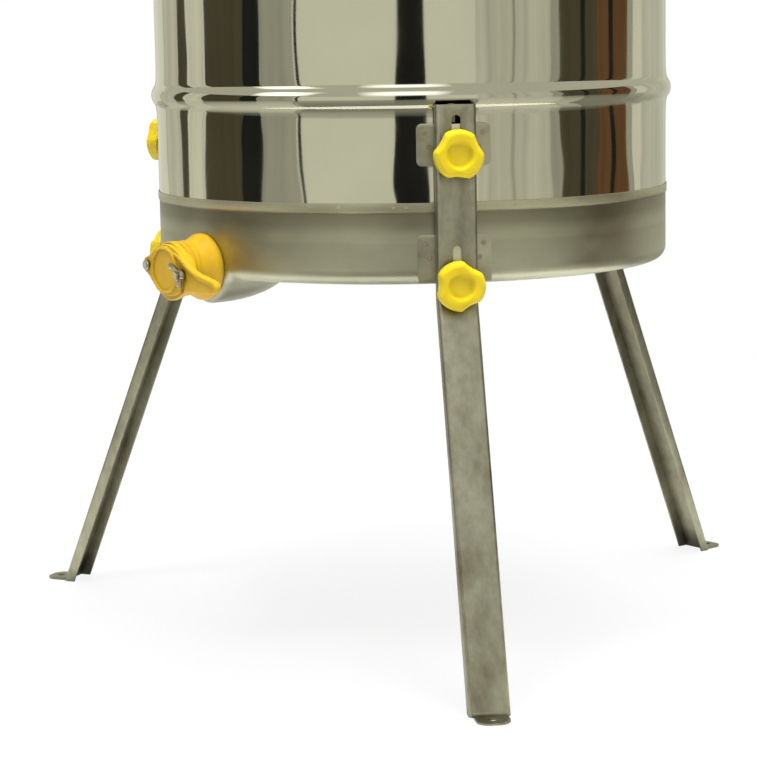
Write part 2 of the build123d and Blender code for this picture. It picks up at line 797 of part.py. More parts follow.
def make_bevel(frame, teeth, cone, bore, web, hub, phase):
    """Straight bevel gear about the frame's z axis, with its cone's apex at the frame's origin."""
    toe_share = 1 - face_width / cone_distance
    heel = Vector(cone_distance * sin(cone), cone_distance * cos(cone))
    across = Vector(cos(cone), -sin(cone))
    tip = heel + across * addendum
    root = heel - across * dedendum
    hub_radius_here, hub_length = hub
    with BuildPart(frame) as bevel:
        with BuildSketch(Plane(frame.location * Plane.XZ.location)):
            with BuildLine():
                Polyline(
                    (bore, toe_share * root.Y),
                    (toe_share * root.X, toe_share * root.Y),
                    (toe_share * tip.X, toe_share * tip.Y),
                    (tip.X, tip.Y),
                    (root.X, root.Y),
                    (root.X, root.Y + web),
                    (hub_radius_here, root.Y + web),
                    (hub_radius_here, root.Y + web + hub_length),
                    (bore, root.Y + web + hub_length),
                    close=True,
                )
            make_face()
        revolve(axis=Axis(frame.origin, frame.z_dir))
        with PolarLocations(0, teeth, start_angle=phase):
            add(make_tooth_gap(teeth, cone), mode=Mode.SUBTRACT)
    return bevel


# Legs
for leg_name, azimuth in leg_azimuths.items():
    keep(make_leg(azimuth), f"leg_{leg_name}")

# Leg brackets, two on each leg
with BuildPart() as leg_brackets:
    for azimuth in leg_azimuths.values():
        upper_foot = stud_heights["upper"] - upper_bracket_below_stud
        upper_top = stud_heights["upper"] + upper_bracket_above_stud
        add(make_bracket(azimuth, "upper", upper_foot, upper_foot, upper_top))
        lower_foot = stud_heights["lower"] - lower_bracket_below_stud
        lower_ear = stud_heights["lower"] + lower_ear_above_stud
        lower_top = stud_heights["lower"] + lower_bracket_above_stud
        add(make_bracket(azimuth, "lower", lower_foot, lower_ear, lower_top))
keep(leg_brackets, "leg_brackets")

# Clamping studs, headed inside the brackets
with BuildPart() as leg_studs:
    head_seat = bracket_face_radius - bracket_sheet - seat_gap
    stud_end = knob_seat + knob_boss_height + stud_engagement
    places = [(azimuth, height) for azimuth in leg_azimuths.values() for height in stud_heights.values()]
    with BuildSketch(*[facing(azimuth, head_seat, height) for azimuth, height in places]):
        Circle(stud_head_radius)
    extrude(amount=-stud_head_height)
    with BuildSketch(*[facing(azimuth, head_seat, height) for azimuth, height in places]):
        Circle(stud_radius)
    extrude(amount=stud_end - head_seat)
keep(leg_studs, "leg_studs")

# Washers between the legs and the knobs
with BuildPart() as knob_washers:
    with BuildSketch(*[facing(azimuth, washer_seat, height) for azimuth, height in places]):
        Circle(washer_radius)
        Circle(stud_radius + clear_gap, mode=Mode.SUBTRACT)
    extrude(amount=washer_thickness)
keep(knob_washers, "knob_washers")

# Clamping knobs
for leg_name, azimuth in leg_azimuths.items():
    for level in stud_heights:
        keep(make_knob(azimuth, level), f"knob_{leg_name}_{level}")

# Places of the fasteners on the crossbar
end_bolt_across = inner_radius - end_bracket_flange / 2
pillow_spots = [
    (start + pillow_length / 2, side * pillow_bolt_spread / 2)
    for start in (inner_pillow, outer_pillow)
    for side in (-1, 1)
]
cover_spots = [
    (x, side * cover_screw_spread / 2)
    for x in (
        cover_left - gear_cover_sheet - cover_tab_length / 2,
        cover_right + gear_cover_sheet + cover_tab_length / 2,
    )
    for side in (-1, 1)
]
end_spots = [(x, side * end_bolt_spread / 2) for x in (-end_bolt_across, end_bolt_across) for side in (-1, 1)]

# Crossbar: channel open below, standing on the rim
with BuildPart() as crossbar:
    with BuildSketch(crosswise(-crossbar_half_length)):
        with Locations((0, deck_height)):
            Rectangle(crossbar_width, crossbar_height, align=(Align.CENTER, Align.MAX))
        with Locations((0, deck_height - crossbar_sheet)):
            hollow = (crossbar_width - 2 * crossbar_sheet, crossbar_height)
            Rectangle(*hollow, align=(Align.CENTER, Align.MAX), mode=Mode.SUBTRACT)
    extrude(amount=2 * crossbar_half_length)
    fillet(crossbar.edges().filter_by(Axis.X).group_by(Axis.Z)[-1], crossbar_corner_radius)
    with BuildSketch(Plane.XY.offset(deck_height)):
        Circle(top_bush_radius + seat_gap)
        with Locations(*pillow_spots, *cover_spots, *end_spots):
            Circle(deck_bolt_radius + seat_gap)
    extrude(amount=-2 * crossbar_sheet, mode=Mode.SUBTRACT)
keep(crossbar, "crossbar")

# Angle brackets that tie the crossbar's ends to the drum's wall
with BuildPart() as crossbar_end_brackets:
    bracket_top = deck_height - crossbar_sheet - seat_gap
    with BuildSketch(Plane.XZ):
        for side, edge in ((-1, Align.MIN), (1, Align.MAX)):
            with Locations((side * inner_radius, bracket_top)):
                leaf_height = bracket_top - rim_top + end_bracket_drop
                Rectangle(end_bracket_sheet, leaf_height, align=(edge, Align.MAX))
                Rectangle(end_bracket_flange, end_bracket_sheet, align=(edge, Align.MAX))
    extrude(amount=end_bracket_width / 2, both=True)
    Cylinder(inner_radius - seat_gap, 2 * deck_height, mode=Mode.INTERSECT)
    with BuildSketch(Plane.XY.offset(bracket_top)):
        with Locations(*end_spots):
            Circle(deck_bolt_radius + seat_gap)
    extrude(amount=-end_bracket_sheet, mode=Mode.SUBTRACT)
    with BuildSketch(crosswise(-rim_outer_radius)):
        with Locations((0, rim_top - wall_screw_drop)):
            with GridLocations(end_bolt_spread, 0, 2, 1):
                Circle(deck_bolt_radius + seat_gap)
    extrude(amount=2 * rim_outer_radius, mode=Mode.SUBTRACT)
keep(crossbar_end_brackets, "crossbar_end_brackets")

# Bolts through the crossbar and its end brackets
end_seats = [Plane.XY.offset(deck_height).move(Location((x, y, 0))) for x, y in end_spots]
keep(make_bolts(end_seats, crossbar_sheet + seat_gap + end_bracket_sheet), "crossbar_bolts")

# Screws through the drum's wall and the end brackets
wall_seats = [
    Plane(
        (side * drum_radius, across * end_bolt_spread / 2, rim_top - wall_screw_drop),
        x_dir=(0, 0, 1),
        z_dir=(side, 0, 0),
    )
    for side in (-1, 1)
    for across in (-1, 1)
]
keep(make_bolts(wall_seats, sheet + end_bracket_sheet), "wall_bolts")

# Screws that hold the pillow blocks and the gear cover down
pillow_seats = [Plane((x, y, deck_height + pillow_base_height)) for x, y in pillow_spots]
cover_seats = [Plane((x, y, deck_height + gear_cover_sheet)) for x, y in cover_spots]
with BuildPart() as deck_bolts:
    add(make_bolts(pillow_seats, pillow_base_height + crossbar_sheet).part)
    add(make_bolts(cover_seats, gear_cover_sheet + crossbar_sheet).part)
keep(deck_bolts, "deck_bolts")

# Housing of the shaft's top bearing, under the crossbar
with BuildPart() as top_bearing_housing:
    housing_top = housing_foot + housing_length
    bore = top_bush_radius + seat_gap
    with BuildSketch(Plane.XZ):
        with Locations((bore, housing_top)):
            Rectangle(housing_flange_radius - bore, housing_flange_height, align=(Align.MIN, Align.MAX))
            Rectangle(housing_wall, housing_length, align=(Align.MIN, Align.MAX))
    revolve(axis=Axis.Z)
keep(top_bearing_housing, "top_bearing_housing")

# Flanged bush of the top bearing
with BuildPart() as top_bush:
    bore = top_journal_radius + running_gap
    with BuildSketch(Plane.XZ):
        with Locations((bore, housing_foot)):
            Rectangle(bush_wall, deck_height - housing_foot, align=(Align.MIN, Align.MIN))
        with Locations((bore, deck_height)):
            Rectangle(bush_flange_radius - bore, bush_flange_height, align=(Align.MIN, Align.MIN))
    revolve(axis=Axis.Z)
keep(top_bush, "top_bush")

# Cup on the pan's floor that holds the ball and the shaft's foot
with BuildPart() as bottom_bearing_cup:
    cup_foot = pan_centre_height + seat_gap
    bore = foot_journal_radius + running_gap
    with BuildSketch(Plane.XZ):
        with Locations((0, cup_foot)):
            Rectangle(cup_base_radius, cup_base_height, align=(Align.MIN, Align.MIN))
        with Locations((bore, cup_foot)):
            Rectangle(cup_collar_radius - bore, cup_top - cup_foot, align=(Align.MIN, Align.MIN))
    revolve(axis=Axis.Z)
keep(bottom_bearing_cup, "bottom_bearing_cup")

# Ball that carries the basket's weight
with BuildPart() as thrust_ball:
    with Locations((0, 0, ball_height)):
        Sphere(ball_radius)
keep(thrust_ball, "thrust_ball")

# Basket's shaft, with a journal at each end
with BuildPart() as basket_shaft:
    with BuildSketch(Plane.XZ):
        with BuildLine():
            Polyline(
                (0, shaft_foot),
                (foot_journal_radius, shaft_foot),
                (foot_journal_radius, cup_top + clear_gap),
                (shaft_radius, cup_top + clear_gap),
                (shaft_radius, housing_foot - clear_gap),
                (top_journal_radius, housing_foot - clear_gap),
                (top_journal_radius, shaft_top),
                (0, shaft_top),
                close=True,
            )
        make_face()
    revolve(axis=Axis.Z)
keep(basket_shaft, "basket_shaft")

# Basket: hubs, spokes, rings and uprights
bay_angle = 360 / frame_bays
spoke_azimuths = [bay_angle * (bay + 0.5) for bay in range(frame_bays)]
guide_lift = basket_rod_radius + guide_rod_radius + seat_gap
keep(make_hub(lower_spoke_height), "lower_hub")
keep(make_hub(upper_spoke_height), "upper_hub")
keep(make_spokes(lower_spoke_height), "lower_spokes")
keep(make_spokes(upper_spoke_height), "upper_spokes")
keep(make_ring(basket_radius, lower_spoke_height, basket_rod_radius), "lower_outer_ring")
keep(make_ring(basket_radius, upper_spoke_height, basket_rod_radius), "upper_outer_ring")
keep(make_ring(guide_ring_radius, lower_spoke_height + guide_lift, guide_rod_radius), "lower_guide_ring")
keep(make_ring(guide_ring_radius, upper_spoke_height - guide_lift, guide_rod_radius), "upper_guide_ring")
with BuildPart() as basket_uprights:
    upright_lift = basket_rod_radius + seat_gap
    with BuildSketch(*[plan(azimuth, lower_spoke_height + upright_lift) for azimuth in spoke_azimuths]):
        with Locations((basket_radius, 0)):
            Circle(basket_rod_radius)
    extrude(amount=upper_spoke_height - lower_spoke_height - 2 * upright_lift)
keep(basket_uprights, "basket_uprights")

# Bevel pair: a tooth of the gear stands in a gap of the pinion under the crank's axis
pinion_frame = Plane((0, 0, apex_height), x_dir=(1, 0, 0), z_dir=(0, 0, -1))
gear_frame = Plane((0, 0, apex_height), x_dir=(0, 0, -1), z_dir=(1, 0, 0))
pinion_hub = (pinion_hub_radius, pinion_hub_height)
gear_hub = (gear_hub_radius, gear_hub_length)
pinion_bore = top_journal_radius + seat_gap
gear_bore = crank_shaft_radius + seat_gap
bevel_pinion = make_bevel(pinion_frame, pinion_teeth, pinion_cone, pinion_bore, pinion_web, pinion_hub, 0)
keep(bevel_pinion, "bevel_pinion")
half_gear_pitch = 180 / gear_teeth
drive_gear = make_bevel(gear_frame, gear_teeth, gear_cone, gear_bore, gear_web, gear_hub, half_gear_pitch)
keep(drive_gear, "drive_gear")

# Cover over the bevel pair, open below and slotted for the crank's shaft
with BuildPart() as gear_cover:
    cover_height = apex_height - deck_height
    cover_radius = cover_inner_radius + gear_cover_sheet
    with BuildSketch(crosswise(cover_left - gear_cover_sheet)):
        with Locations((0, apex_height)):
            Circle(cover_radius)
            Rectangle(2 * cover_radius, cover_height, align=(Align.CENTER, Align.MAX))
        with Locations((0, deck_height)):
            Rectangle(2 * cover_radius, cover_radius, align=(Align.CENTER, Align.MAX), mode=Mode.SUBTRACT)
    extrude(amount=cover_right - cover_left + 2 * gear_cover_sheet)
    fillet(gear_cover.edges().filter_by(GeomType.CIRCLE), cover_edge_radius)
    with BuildSketch(crosswise(cover_left)):
        with Locations((0, apex_height)):
            Circle(cover_inner_radius)
            Rectangle(2 * cover_inner_radius, 2 * cover_height, align=(Align.CENTER, Align.MAX))
    extrude(amount=cover_right - cover_left, mode=Mode.SUBTRACT)
    with BuildSketch(crosswise(cover_right)):
        slot_radius = crank_shaft_radius + gear_cover_gap
        with Locations((0, apex_height)):
            Circle(slot_radius)
            Rectangle(2 * slot_radius, 2 * cover_height, align=(Align.CENTER, Align.MAX))
    extrude(amount=gear_cover_sheet, mode=Mode.SUBTRACT)
    with BuildSketch(Plane.XY.offset(deck_height)):
        with Locations((cover_left - gear_cover_sheet, 0)):
            Rectangle(cover_tab_length, cover_tab_width, align=(Align.MAX, Align.CENTER))
        with Locations((cover_right + gear_cover_sheet, 0)):
            Rectangle(cover_tab_length, cover_tab_width, align=(Align.MIN, Align.CENTER))
        with Locations(*cover_spots):
            Circle(deck_bolt_radius + seat_gap, mode=Mode.SUBTRACT)
    extrude(amount=gear_cover_sheet)
keep(gear_cover, "gear_cover")

# Pillow blocks that carry the crank's shaft
with BuildPart() as pillow_blocks:
    for start in (inner_pillow, outer_pillow):
        with BuildSketch(crosswise(start)):
            with Locations((0, apex_height)):
                Circle(pillow_head_radius)
            with Locations((0, deck_height)):
                Rectangle(pillow_base_width / 2, pillow_base_height, align=(Align.CENTER, Align.MIN))
            make_hull()
            with Locations((0, deck_height)):
                Rectangle(pillow_base_width, pillow_base_height, align=(Align.CENTER, Align.MIN))
            with Locations((0, apex_height)):
                Circle(crank_bush_radius + seat_gap, mode=Mode.SUBTRACT)
        extrude(amount=pillow_length)
    with BuildSketch(Plane.XY.offset(deck_height)):
        with Locations(*pillow_spots):
            Circle(deck_bolt_radius + seat_gap)
    extrude(amount=pillow_base_height, mode=Mode.SUBTRACT)
keep(pillow_blocks, "pillow_blocks")

# Bushes in the pillow blocks
with BuildPart() as crank_bushes:
    for start in (inner_pillow, outer_pillow):
        with BuildSketch(crosswise(start)):
            with Locations((0, apex_height)):
                Circle(crank_bush_radius)
                Circle(crank_shaft_radius + running_gap, mode=Mode.SUBTRACT)
        extrude(amount=pillow_length)
keep(crank_bushes, "crank_bushes")

# Crank's shaft, stepped down for the arm and its nut
with BuildPart() as crank_shaft:
    shaft_start = pinion_pitch_radius
    thread_end = crank_arm_end + crank_nut_height + crank_thread_tail
    with BuildSketch(crosswise(shaft_start)):
        with Locations((0, apex_height)):
            Circle(crank_shaft_radius)
    extrude(amount=crank_arm_start - shaft_start)
    with BuildSketch(crosswise(crank_arm_start)):
        with Locations((0, apex_height)):
            Circle(crank_end_radius)
    extrude(amount=thread_end - crank_arm_start)
keep(crank_shaft, "crank_shaft")

# Crank's arm, hanging straight down
with BuildPart() as crank_arm:
    with BuildSketch(crosswise(crank_arm_start)):
        with Locations((0, apex_height)):
            Circle(crank_hub_radius)
        with Locations((0, apex_height - crank_radius)):
            Circle(crank_tip_radius)
        make_hull()
        with Locations((0, apex_height)):
            Circle(crank_end_radius + seat_gap, mode=Mode.SUBTRACT)
        with Locations((0, apex_height - crank_radius)):
            Circle(grip_pin_radius + seat_gap, mode=Mode.SUBTRACT)
    extrude(amount=crank_arm_thickness)
    for face in (crank_arm.faces().sort_by(Axis.X)[0], crank_arm.faces().sort_by(Axis.X)[-1]):
        chamfer(face.outer_wire().edges(), crank_arm_chamfer)
keep(crank_arm, "crank_arm")

# Nut that holds the arm on its shaft
with BuildPart() as crank_nut:
    with BuildSketch(crosswise(crank_arm_end)):
        with Locations((0, apex_height)):
            RegularPolygon(crank_nut_radius, 6)
            Circle(crank_end_radius + running_gap, mode=Mode.SUBTRACT)
    extrude(amount=crank_nut_height)
keep(crank_nut, "crank_nut")

# Pin that the grip turns on
with BuildPart() as grip_pin:
    grip_height = apex_height - crank_radius
    with BuildSketch(crosswise(crank_arm_start)):
        with Locations((0, grip_height)):
            Circle(grip_pin_radius)
    extrude(amount=grip_end + clear_gap - crank_arm_start)
    with BuildSketch(crosswise(grip_end + clear_gap)):
        with Locations((0, grip_height)):
            Circle(grip_pin_head_radius)
    extrude(amount=grip_pin_head_height)
keep(grip_pin, "grip_pin")

# Barrel-shaped grip
with BuildPart() as crank_grip:
    with BuildSketch(Plane.XZ):
        with BuildLine():
            bore = grip_height + grip_pin_radius + running_gap
            waist = grip_height + grip_waist_radius
            Polyline((grip_start, waist), (grip_start, bore), (grip_end, bore), (grip_end, waist))
            middle = ((grip_start + grip_end) / 2, grip_height + grip_radius)
            ThreePointArc((grip_start, waist), middle, (grip_end, waist))
        make_face()
    revolve(axis=Axis((0, 0, grip_height), (1, 0, 0)))
    ends = crank_grip.edges().filter_by(GeomType.CIRCLE).sort_by(SortBy.RADIUS)[-2:]
    fillet(ends, grip_end_radius)
keep(crank_grip, "crank_grip")

# Rods that the lids hinge on, one on each side of the crossbar
with BuildPart() as hinge_rods:
    with BuildSketch(crosswise(-hinge_rod_half_length)):
        with Locations((-hinge_rod_across, hinge_rod_height), (hinge_rod_across, hinge_rod_height)):
            Circle(hinge_rod_radius)
    extrude(amount=2 * hinge_rod_half_length)
keep(hinge_rods, "hinge_rods")

# Brackets that hold the rods off the crossbar's sides
with BuildPart() as rod_brackets:
    for x in (-rod_bracket_spread / 2, rod_bracket_spread / 2):
        for side in (-1, 1):
            with BuildSketch(crosswise(x - rod_bracket_width / 2)):
                with Locations((side * hinge_rod_across, hinge_rod_height)):
                    Circle(hinge_rod_radius + hinge_eye_wall)
                arm_length = hinge_rod_offset - seat_gap
                with Locations((side * (hinge_rod_across - arm_length / 2), hinge_rod_height)):
                    Rectangle(arm_length, 2 * (hinge_rod_radius + hinge_eye_wall))
                with Locations((side * hinge_rod_across, hinge_rod_height)):
                    Circle(hinge_rod_radius + seat_gap, mode=Mode.SUBTRACT)
            extrude(amount=rod_bracket_width)
keep(rod_brackets, "rod_brackets")

# Two clear half lids with their hinge clips and knobs
for lid_name, side, edge in (("front", -1, Align.MAX), ("rear", 1, Align.MIN)):
    with BuildPart() as lid:
        with BuildSketch(Plane.XY.offset(lid_foot)):
            Circle(rim_wire_centre + lid_overhang)
            with Locations((0, side * hinge_rod_across)):
                half = (2 * rim_outer_radius, rim_outer_radius)
                Rectangle(*half, align=(Align.CENTER, edge), mode=Mode.INTERSECT)
        extrude(amount=lid_thickness)
        fillet(lid.faces().sort_by(Axis.Z)[-1].edges(), lid_edge_radius)
    keep(lid, f"{lid_name}_lid")

    with BuildPart() as clips:
        for x in (-hinge_clip_spread / 2, hinge_clip_spread / 2):
            with BuildSketch(crosswise(x - hinge_clip_width / 2)):
                with Locations((side * hinge_rod_across, hinge_rod_height)):
                    Circle(hinge_rod_radius + hinge_eye_wall)
                with Locations((side * hinge_rod_across, lid_top)):
                    heel = Align.MIN if side > 0 else Align.MAX
                    Rectangle(hinge_clip_foot, hinge_eye_wall, align=(heel, Align.MIN))
                make_hull()
                with Locations((side * hinge_rod_across, hinge_rod_height)):
                    Circle(hinge_rod_radius + running_gap, mode=Mode.SUBTRACT)
            extrude(amount=hinge_clip_width)
    keep(clips, f"{lid_name}_lid_clips")

    knob_x = side * lid_knob_shift
    knob_y = side * (inner_radius - lid_knob_inset)
    with BuildPart() as lid_knob:
        with BuildSketch(Plane((knob_x, knob_y, lid_top), x_dir=(1, 0, 0), z_dir=(0, -1, 0))):
            with BuildLine():
                Polyline((0, lid_knob_height), (0, 0), (lid_knob_radius, 0))
                Spline(
                    (lid_knob_radius, 0),
                    (lid_knob_neck, lid_knob_neck_height),
                    (lid_knob_radius, lid_knob_brim_height),
                    (0, lid_knob_height),
                    tangents=[(-1, 1), (-1, 0)],
                )
            make_face()
        revolve(axis=Axis((knob_x, knob_y, 0), (0, 0, 1)))
    keep(lid_knob, f"{lid_name}_lid_knob")
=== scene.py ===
import json
import math

import bmesh
import bpy
from mathutils import Matrix, Vector


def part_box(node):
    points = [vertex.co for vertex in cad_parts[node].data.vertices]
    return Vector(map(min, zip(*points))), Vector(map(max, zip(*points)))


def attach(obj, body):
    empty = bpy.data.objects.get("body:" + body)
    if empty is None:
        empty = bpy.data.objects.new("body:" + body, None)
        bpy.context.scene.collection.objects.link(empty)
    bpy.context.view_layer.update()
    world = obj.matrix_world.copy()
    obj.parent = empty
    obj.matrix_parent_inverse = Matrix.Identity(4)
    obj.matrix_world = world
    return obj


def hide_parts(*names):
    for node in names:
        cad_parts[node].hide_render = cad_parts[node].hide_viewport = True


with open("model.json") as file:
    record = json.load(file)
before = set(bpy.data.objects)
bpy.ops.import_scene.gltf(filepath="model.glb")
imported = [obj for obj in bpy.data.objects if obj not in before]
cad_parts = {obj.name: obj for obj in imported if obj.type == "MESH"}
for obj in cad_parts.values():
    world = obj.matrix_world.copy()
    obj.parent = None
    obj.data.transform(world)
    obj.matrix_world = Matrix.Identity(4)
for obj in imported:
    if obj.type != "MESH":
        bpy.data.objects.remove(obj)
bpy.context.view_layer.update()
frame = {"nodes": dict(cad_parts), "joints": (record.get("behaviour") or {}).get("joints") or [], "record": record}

nodes = frame["nodes"]
joints = {joint["name"]: joint for joint in frame["joints"]}

# Small outlines are written in millimetres, and everything else in metres and degrees
MM = 0.001

# Camera, as fitted to the drum, the legs and the feet
CAMERA_DISTANCE = 2.4804
CAMERA_HEIGHT = 0.6178
CAMERA_AZIMUTH = 51.43
CAMERA_PITCH = 8.618
CAMERA_YAW = -0.796
CAMERA_ROLL = -1.001
FOCAL_LENGTH = 111.79
SENSOR_WIDTH = 36.0

# Floor and light: lamps fade from their middle to nothing at the edge, and the peak keeps their power
FLOOR_SIZE = 40.0
FLOOR_WHITE = (0.87, 1.0)
FLOOR_WHITE_SPAN = (0.5, 2.2)
FLOOR_GLOW = 0.2
WORLD_LIGHT = 0.22
LAMP_PEAK = 36.0
LAMP_AIM = 0.5

# What the polished steel shows of the studio
CARD_DISTANCE = 3.2
CARD_HEIGHT = 1.7
CARD_STEP = 3.0
CARD_FOLDS = 0.14
ROOM_RADIUS = 3.7
ROOM_STEPS = 36
WALL_TOP = 1.5
CEILING = ((ROOM_RADIUS, WALL_TOP), (ROOM_RADIUS, 3.9), (3.0, 4.5), (0.0, 4.6))
GROUND_START = 0.62
GROUND_LIFT = 0.002
STUDIO_TONES = {
    "pale": (0.79, 0.79, 0.66),
    "ceiling": (0.60, 0.60, 0.50),
    "ground": (0.28, 0.28, 0.23),
    "soft": (0.62, 0.62, 0.51),
    "grey": (0.42, 0.42, 0.34),
    "brown": (0.085, 0.075, 0.046),
    "umber": (0.15, 0.078, 0.034),
    "black": (0.018, 0.018, 0.017),
}

# Gate: its axis and tilt come from the joints, and what follows the tilt is in millimetres
GATE_PIVOT = Vector(joints["gate_swing"]["pos_m"])
GATE_BOLT = Vector(joints["wing_nut_spin"]["pos_m"])
GATE_HEIGHT = (GATE_PIVOT.z + GATE_BOLT.z) / 2
GATE_TILT = math.degrees(math.atan2(GATE_PIVOT.z - GATE_BOLT.z, GATE_BOLT.x - GATE_PIVOT.x))
BOLT_SPREAD = (GATE_BOLT - GATE_PIVOT).length / 2 / MM
BOLT_SLACK = 3.3
PLATE_BACK = -GATE_PIVOT.y / MM
PLATE_FRONT = PLATE_BACK + 4.6
FLANGE_FRONT = PLATE_BACK - 0.1
FLANGE_BACK = FLANGE_FRONT - 7.0
FLANGE_BORE = 20.0
BELL_RADIUS = 32.5
BELL_GAP = 0.3
NUT_SEAT = PLATE_FRONT + 0.2
# Turn of the wings in degrees, and the flange's depth below its axis as a share of its height above
WING_TURN = 135.0
FLANGE_DROP = 1.12

# Drum and pan: the wall's ends and the seam come from the CAD nodes
SHEET = 0.001
SEAM_SLACK = 0.0001
WALL_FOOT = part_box("drum_wall")[0].z
RIM_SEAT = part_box("drum_wall")[1].z
SEAM_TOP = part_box("bottom_pan")[1].z
SEAM_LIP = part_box("bottom_pan")[1].x
SEAM_LEDGE = WALL_FOOT - SEAM_SLACK
SEAM_ROUND = 0.0003
SEAM_MARKS = 48
DRUM_RADIUS = SEAM_LIP - SHEET - SEAM_SLACK
WALL_SEGMENTS = 288
BEAD_HEIGHTS = (0.548, 0.865)
BEAD_PROJECTION = 0.0053
BEAD_CROWN = 0.0145
BEAD_BLEND = 0.0105
BEAD_RUN = 0.035
BEAD_RUN_RISE = 0.0009
BEAD_RUN_LEAN = 8.0
PAN_FLOOR = 0.373
PAN_RISE = 0.008
PAN_CENTRE = 0.045
PAN_CORNER = 0.013
# Radii of the pan's rings of points, with fine steps from the last one out to the edge
PAN_RINGS = [0.0, 0.02, PAN_CENTRE, 0.07, 0.1, 0.12]
PAN_FINE = 0.14
STUB_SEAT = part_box("outlet_stub")[1].x + SEAM_SLACK
SUMP_RADIUS = GATE_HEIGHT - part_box("bottom_pan")[0].z
SUMP_STRAIGHT = 0.018
SUMP_TAPER = 0.086
SUMP_DEPTH = 0.02
SUMP_EDGE = 0.008
SUMP_BLEND = 0.008
SUMP_ANGLE = 16.0
SUMP_SLOPE = 3.0
GATE_SIDE = -0.2

# Legs, brackets and knobs: their places come from the knobs' joints and the brackets' node
LEGS = ("front_left", "front_right", "rear")
LEVELS = ("lower", "upper")
LEG_AXES = {leg: joints[f"knob_{leg}_upper_spin"]["axis"] for leg in LEGS}
LEG_AZIMUTHS = {leg: math.degrees(math.atan2(axis[0], -axis[1])) for leg, axis in LEG_AXES.items()}
STUD_HEIGHTS = {level: joints[f"knob_rear_{level}_spin"]["pos_m"][2] for level in LEVELS}
KNOB_SEAT = joints["knob_rear_upper_spin"]["pos_m"][1]
KNOB_TURNS = {"upper": 27.0, "lower": 57.0}
KNOB_RADIUS = 0.0235
SCALLOPS = 3
SCALLOP_RADIUS = 0.038
SCALLOP_CENTRE = 0.0582
SCALLOP_SOFTNESS = 0.0016
BRACKET_SHEET = 0.0015
BRACKET_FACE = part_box("leg_brackets")[1].y
BRACKET_BOX_HALF = 0.01695
BRACKET_HALF = 0.035
BRACKET_BEND = 0.0022
BRACKET_CORNER = 0.005
BRACKET_ROWS = 14
# Foot of the box, foot of the ears and top, all from the stud, and whether the ears' feet are round
BRACKET_SHAPES = {"upper": (-0.0115, -0.0115, 0.028, True), "lower": (-0.0125, 0.001, 0.046, False)}
# Spot welds on an ear: distance to the side and down from the top
WELD_SPOTS = ((0.0276, 0.0085), (0.0235, 0.0215))
EAR_FACE = DRUM_RADIUS + BRACKET_SHEET

# Edges: gaps that are closed, angles of edges shaded or cut as corners, and the CAD nodes that are cut
PIECE_GAP = 1e-6
NODE_GAP = 1e-5
SMOOTH_ANGLE = 35.0
EDGE_ANGLE = 50.0
EDGE_WIDTH = 0.0004
SOFT_EDGED = ("leg_front_left", "leg_front_right", "leg_rear", "crossbar", "gear_cover", "crank_arm",
              "pillow_blocks")


def heading(azimuth):
    """Level direction of an azimuth, counted from the gate towards +X."""
    turn = math.radians(azimuth)
    return Vector((math.sin(turn), -math.cos(turn), 0.0))


def standing(azimuth, section):
    """Points of a section of (radius, height) that stands at an azimuth."""
    out = heading(azimuth)
    return [(out.x * radius, out.y * radius, height) for radius, height in section]


def steps(first, last, count):
    """Evenly spaced values from first to last."""
    return [first + (last - first) * i / count for i in range(count + 1)]


def circle(count):
    """Angles of a full turn."""
    return [2 * math.pi * i / count for i in range(count)]


def clamp(share):
    return min(1.0, max(0.0, share))


def eased(share):
    """Share that starts and ends gently."""
    return share * share * (3.0 - 2.0 * share)


def soft_min(first, second, softness):
    """The lower of two values, rounded over where they are close."""
    share = clamp(0.5 + 0.5 * (second - first) / softness)
    return second + (first - second) * share - softness * share * (1.0 - share)


def shade(colour, factor):
    return tuple(min(1.0, c * factor) for c in colour)


def add_object(name, data):
    """New object in the scene."""
    obj = bpy.data.objects.new(name, data)
    bpy.context.scene.collection.objects.link(obj)
    return obj


class Graph:
    """Short way to write shader nodes into a tree."""

    def __init__(self, tree):
        self.tree = tree

    def node(self, kind, **settings):
        made = self.tree.nodes.new(kind)
        for key, value in settings.items():
            setattr(made, key, value)
        return made

    def link(self, source, target):
        self.tree.links.new(source, target)

    def compute(self, operation, first, second):
        made = self.node("ShaderNodeMath", operation=operation)
        for socket, value in zip(made.inputs, (first, second)):
            if isinstance(value, float):
                socket.default_value = value
            else:
                self.link(value, socket)
        return made.outputs[0]

    def spread(self, value, low, high, start=0.3, end=0.7):
        """Maps a value's span to a range of numbers."""
        made = self.node("ShaderNodeMapRange")
        for socket, number in zip(made.inputs[1:5], (start, end, low, high)):
            socket.default_value = number
        self.link(value, made.inputs[0])
        return made.outputs[0]


